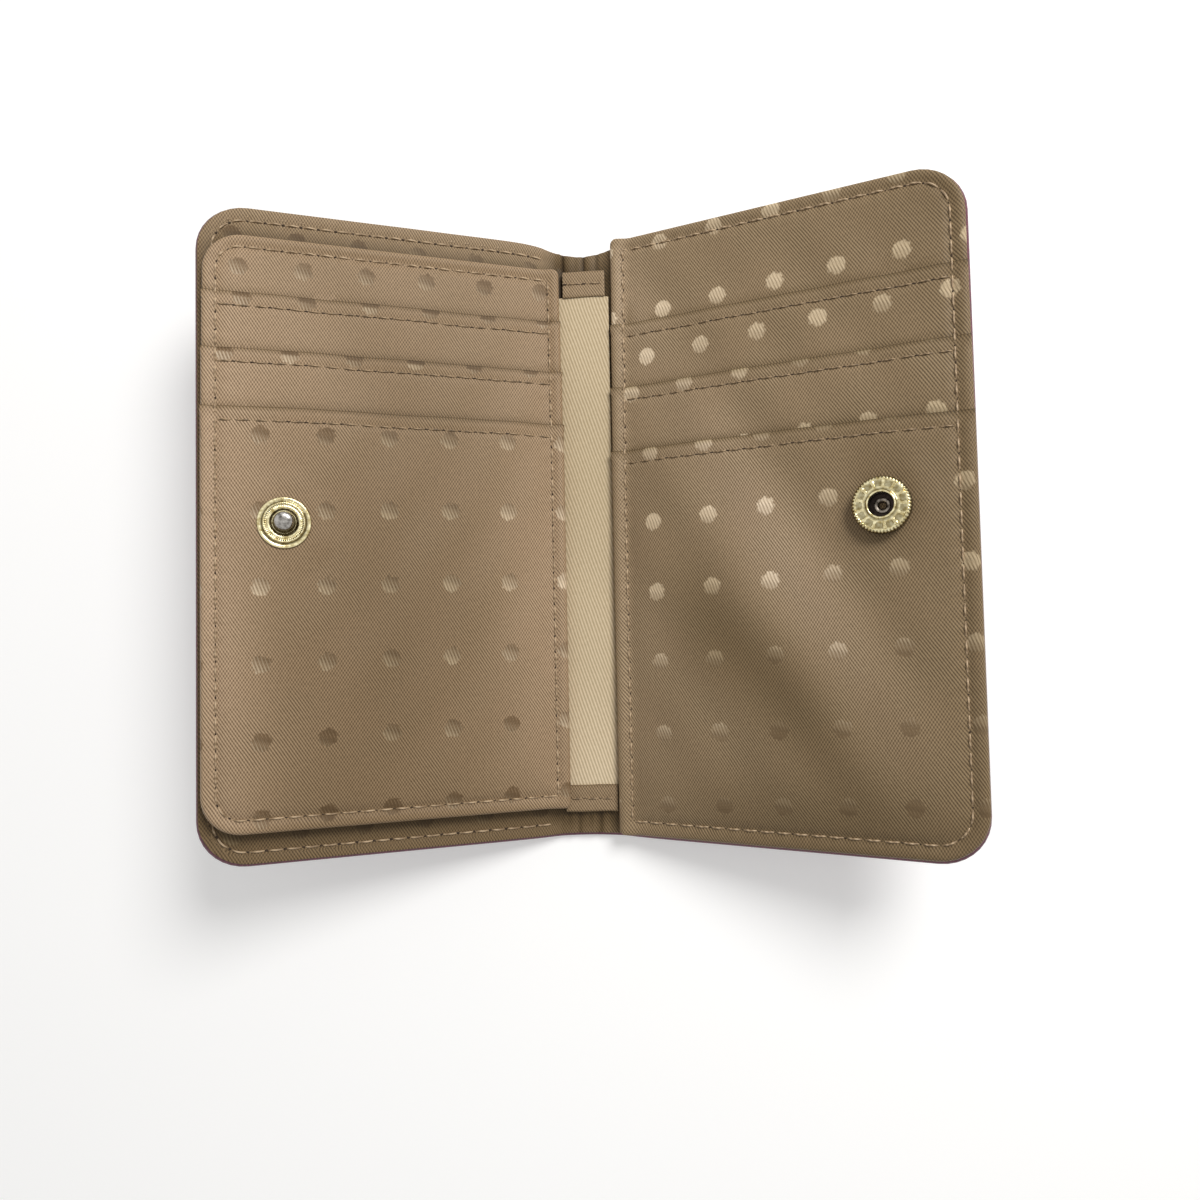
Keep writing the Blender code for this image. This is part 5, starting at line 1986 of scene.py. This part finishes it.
def blend_part(piece, part):
    height = part["hem_low"]
    start = on_leaf(part["side"], np.array(FOLD_TOP_START), np.array(0.0), np.array(height))
    end = on_leaf(part["side"], np.array(part["box"][0]), np.array(0.0), np.array(height))
    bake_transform(piece)


for side, skin, cover_cloth, word in (
    (LEFT, left_skin, left_cover_lining, "left"),
    (RIGHT, right_skin, right_cover_lining, "right"),
):
    blend_cover(skin, side)
    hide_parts(word + "_leather", word + "_leather_fold", "spine_leather")
    blend_cover(cover_cloth, side)
    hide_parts(word + "_lining", word + "_lining_fold", "spine_lining")

for part in (PAGE, PANEL):
    name = part["name"]
    for number, piece in enumerate(part["layers"]):
        blend_part(piece, part)
        stands_for = [name + "_" + LAYER_NAMES[number]]
        if number == 0:
            stands_for.append(name + "_hem")
        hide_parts(*stands_for)
for part, rows in ((PAGE, page_rows), (PANEL, panel_rows)):
    name = part["name"]
    for row, word in zip(rows, (None, "rear", "middle", "front")):
        blend_part(row, part)
        if word is None:
            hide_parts(name + "_seam", name + "_hem_seam")
        else:
            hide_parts(name + "_seam_" + word)
blend_part(page_back, PAGE)
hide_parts("page_lining")
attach(page_allowance, "left_leaf")
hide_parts("page_seam_allowance")
blend_cover(left_cover_row, LEFT)
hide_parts("left_cover_seam")
for row, side in zip(outer_rows, (LEFT, RIGHT)):
    blend_cover(row, side)
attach(strip, "spine")
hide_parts("spine_strip")
for binding, row, word in (
    (top_binding, binding_rows[0], "top"),
    (bottom_binding, binding_rows[1], "bottom"),
):
    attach(binding, "spine")
    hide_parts("strip_binding_" + word)
    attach(row, "spine")
for piece, body, slot_name, node in (
    (stud_cup, "left_leaf", "gold", "stud_base"),
    (stud_pin, "left_leaf", "nickel", "stud_post"),
    (socket_shell, "right_leaf", "gold", "socket_case"),
    (socket_floor, "right_leaf", "nickel", "socket_case"),
    (eyelet, "right_leaf", "nickel", "socket_eyelet"),
):
    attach(piece, body)
    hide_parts(node)
KEPT_NODES = {
    "left_board": grey_board,
    "right_board": grey_board,
    "stud_back_ring": pale_gold,
    "socket_back_ring": pale_gold,
    "socket_spring": nickel,
}
for node, material in KEPT_NODES.items():
    for material_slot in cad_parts[node].material_slots:
        material_slot.material = material
print("kept CAD nodes:", sorted(KEPT_NODES))

# %% [markdown]
# The layers of the page and the panel
#
# A loop goes through the layers of the page and the panel, and does nothing with them.


for part, rows in ((PAGE, page_rows), (PANEL, panel_rows)):
    for number, piece in enumerate(part["layers"]):
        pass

# %% [markdown]
# Floor, background and light
#
# The wallet stands on a pale floor. One large soft lamp above the far right gives the key light,
# and the plain sky fills the rest. The full white of the background and a faint glow of the floor
# show to the camera and in reflections only, so they add no light of their own.

# %% Light the scene
FLOOR_WHITE = "#F4F3F1"
FLOOR_SIZE = 3.0
FLOOR_GLOW = 0.28
FLOOR_GAP = 0.00002
FLOOR_MOTTLE_SHARES = (0.99, 1.0)
SKY_LIGHT = "#FFFFFF"
SKY_STRENGTH = 0.40
KEY_PLACE = (0.20, 0.26, 0.36)
KEY_SIZE = 0.22
KEY_WATTS = 1.75
AIM = (0.0, 0.0, 0.01)


def camera_sees(tree):
    """1 for rays that draw the picture, a reflection or something seen through glass."""
    rays = add(tree, "LightPath").outputs
    seen = add(tree, "Math", [rays["Is Camera Ray"], rays["Is Glossy Ray"]], operation="MAXIMUM")
    any_seen = add(
        tree, "Math", [seen.outputs[0], rays["Is Transmission Ray"]], operation="MAXIMUM"
    )
    return any_seen.outputs[0]


def make_world():
    world = bpy.data.worlds.new("studio")
    world.use_nodes = True
    bpy.context.scene.world = world
    tree = world.node_tree
    strength = add(
        tree, "Mix", {0: camera_sees(tree), 2: SKY_STRENGTH, 3: 1.0}, data_type="FLOAT"
    )
    sky = tree.nodes["Background"]
    sky.inputs["Color"].default_value = linear(SKY_LIGHT)
    tree.links.new(strength.outputs[0], sky.inputs["Strength"])


def make_floor():
    half = FLOOR_SIZE / 2
    corners = [(-half, -half, 0), (half, -half, 0), (half, half, 0), (-half, half, 0)]
    floor = add_mesh("floor", corners, [(0, 1, 2, 3)])
    floor.location.z = -FLOOR_GAP
    material, tree, shader = new_material("Pale studio floor", Roughness=0.9)
    grain = add(tree, "TexNoise", {"Scale": 1 / PATCH_SIZE})
    level = add(tree, "MapRange", [grain.outputs[0], 0.0, 1.0, *FLOOR_MOTTLE_SHARES])
    colour = add(
        tree, "VectorMath", [linear(FLOOR_WHITE)[:3], level.outputs[0]], operation="MULTIPLY"
    )
    tree.links.new(colour.outputs[0], shader.inputs["Base Color"])
    glow = add(tree, "Mix", {0: camera_sees(tree), 2: 0.0, 3: FLOOR_GLOW}, data_type="FLOAT")
    shader.inputs["Emission Color"].default_value = linear(SKY_LIGHT)
    tree.links.new(glow.outputs[0], shader.inputs["Emission Strength"])
    floor.data.materials.append(material)
    floor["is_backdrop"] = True


def add_lamp(name, place, size, watts):
    data = bpy.data.lights.new(name, "AREA")
    data.shape = "DISK"
    data.size = size
    data.energy = watts
    lamp = bpy.data.objects.new(name, data)
    lamp.location = place
    toward = Vector(AIM) - Vector(place)
    lamp.rotation_euler = toward.to_track_quat("-Z", "Y").to_euler()
    bpy.context.scene.collection.objects.link(lamp)


make_world()
make_floor()
add_lamp("key", KEY_PLACE, KEY_SIZE, KEY_WATTS)
bpy.context.scene.view_settings.view_transform = "Standard"
print("key lamp", KEY_WATTS, "W at", KEY_PLACE)

# %% Print the dressed sizes
dressed_low, dressed_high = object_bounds()
dressed_size = [(b - a) * MM_PER_M for a, b in zip(dressed_low, dressed_high)]
print("dressed box in mm:", [round(size, 1) for size in dressed_size])
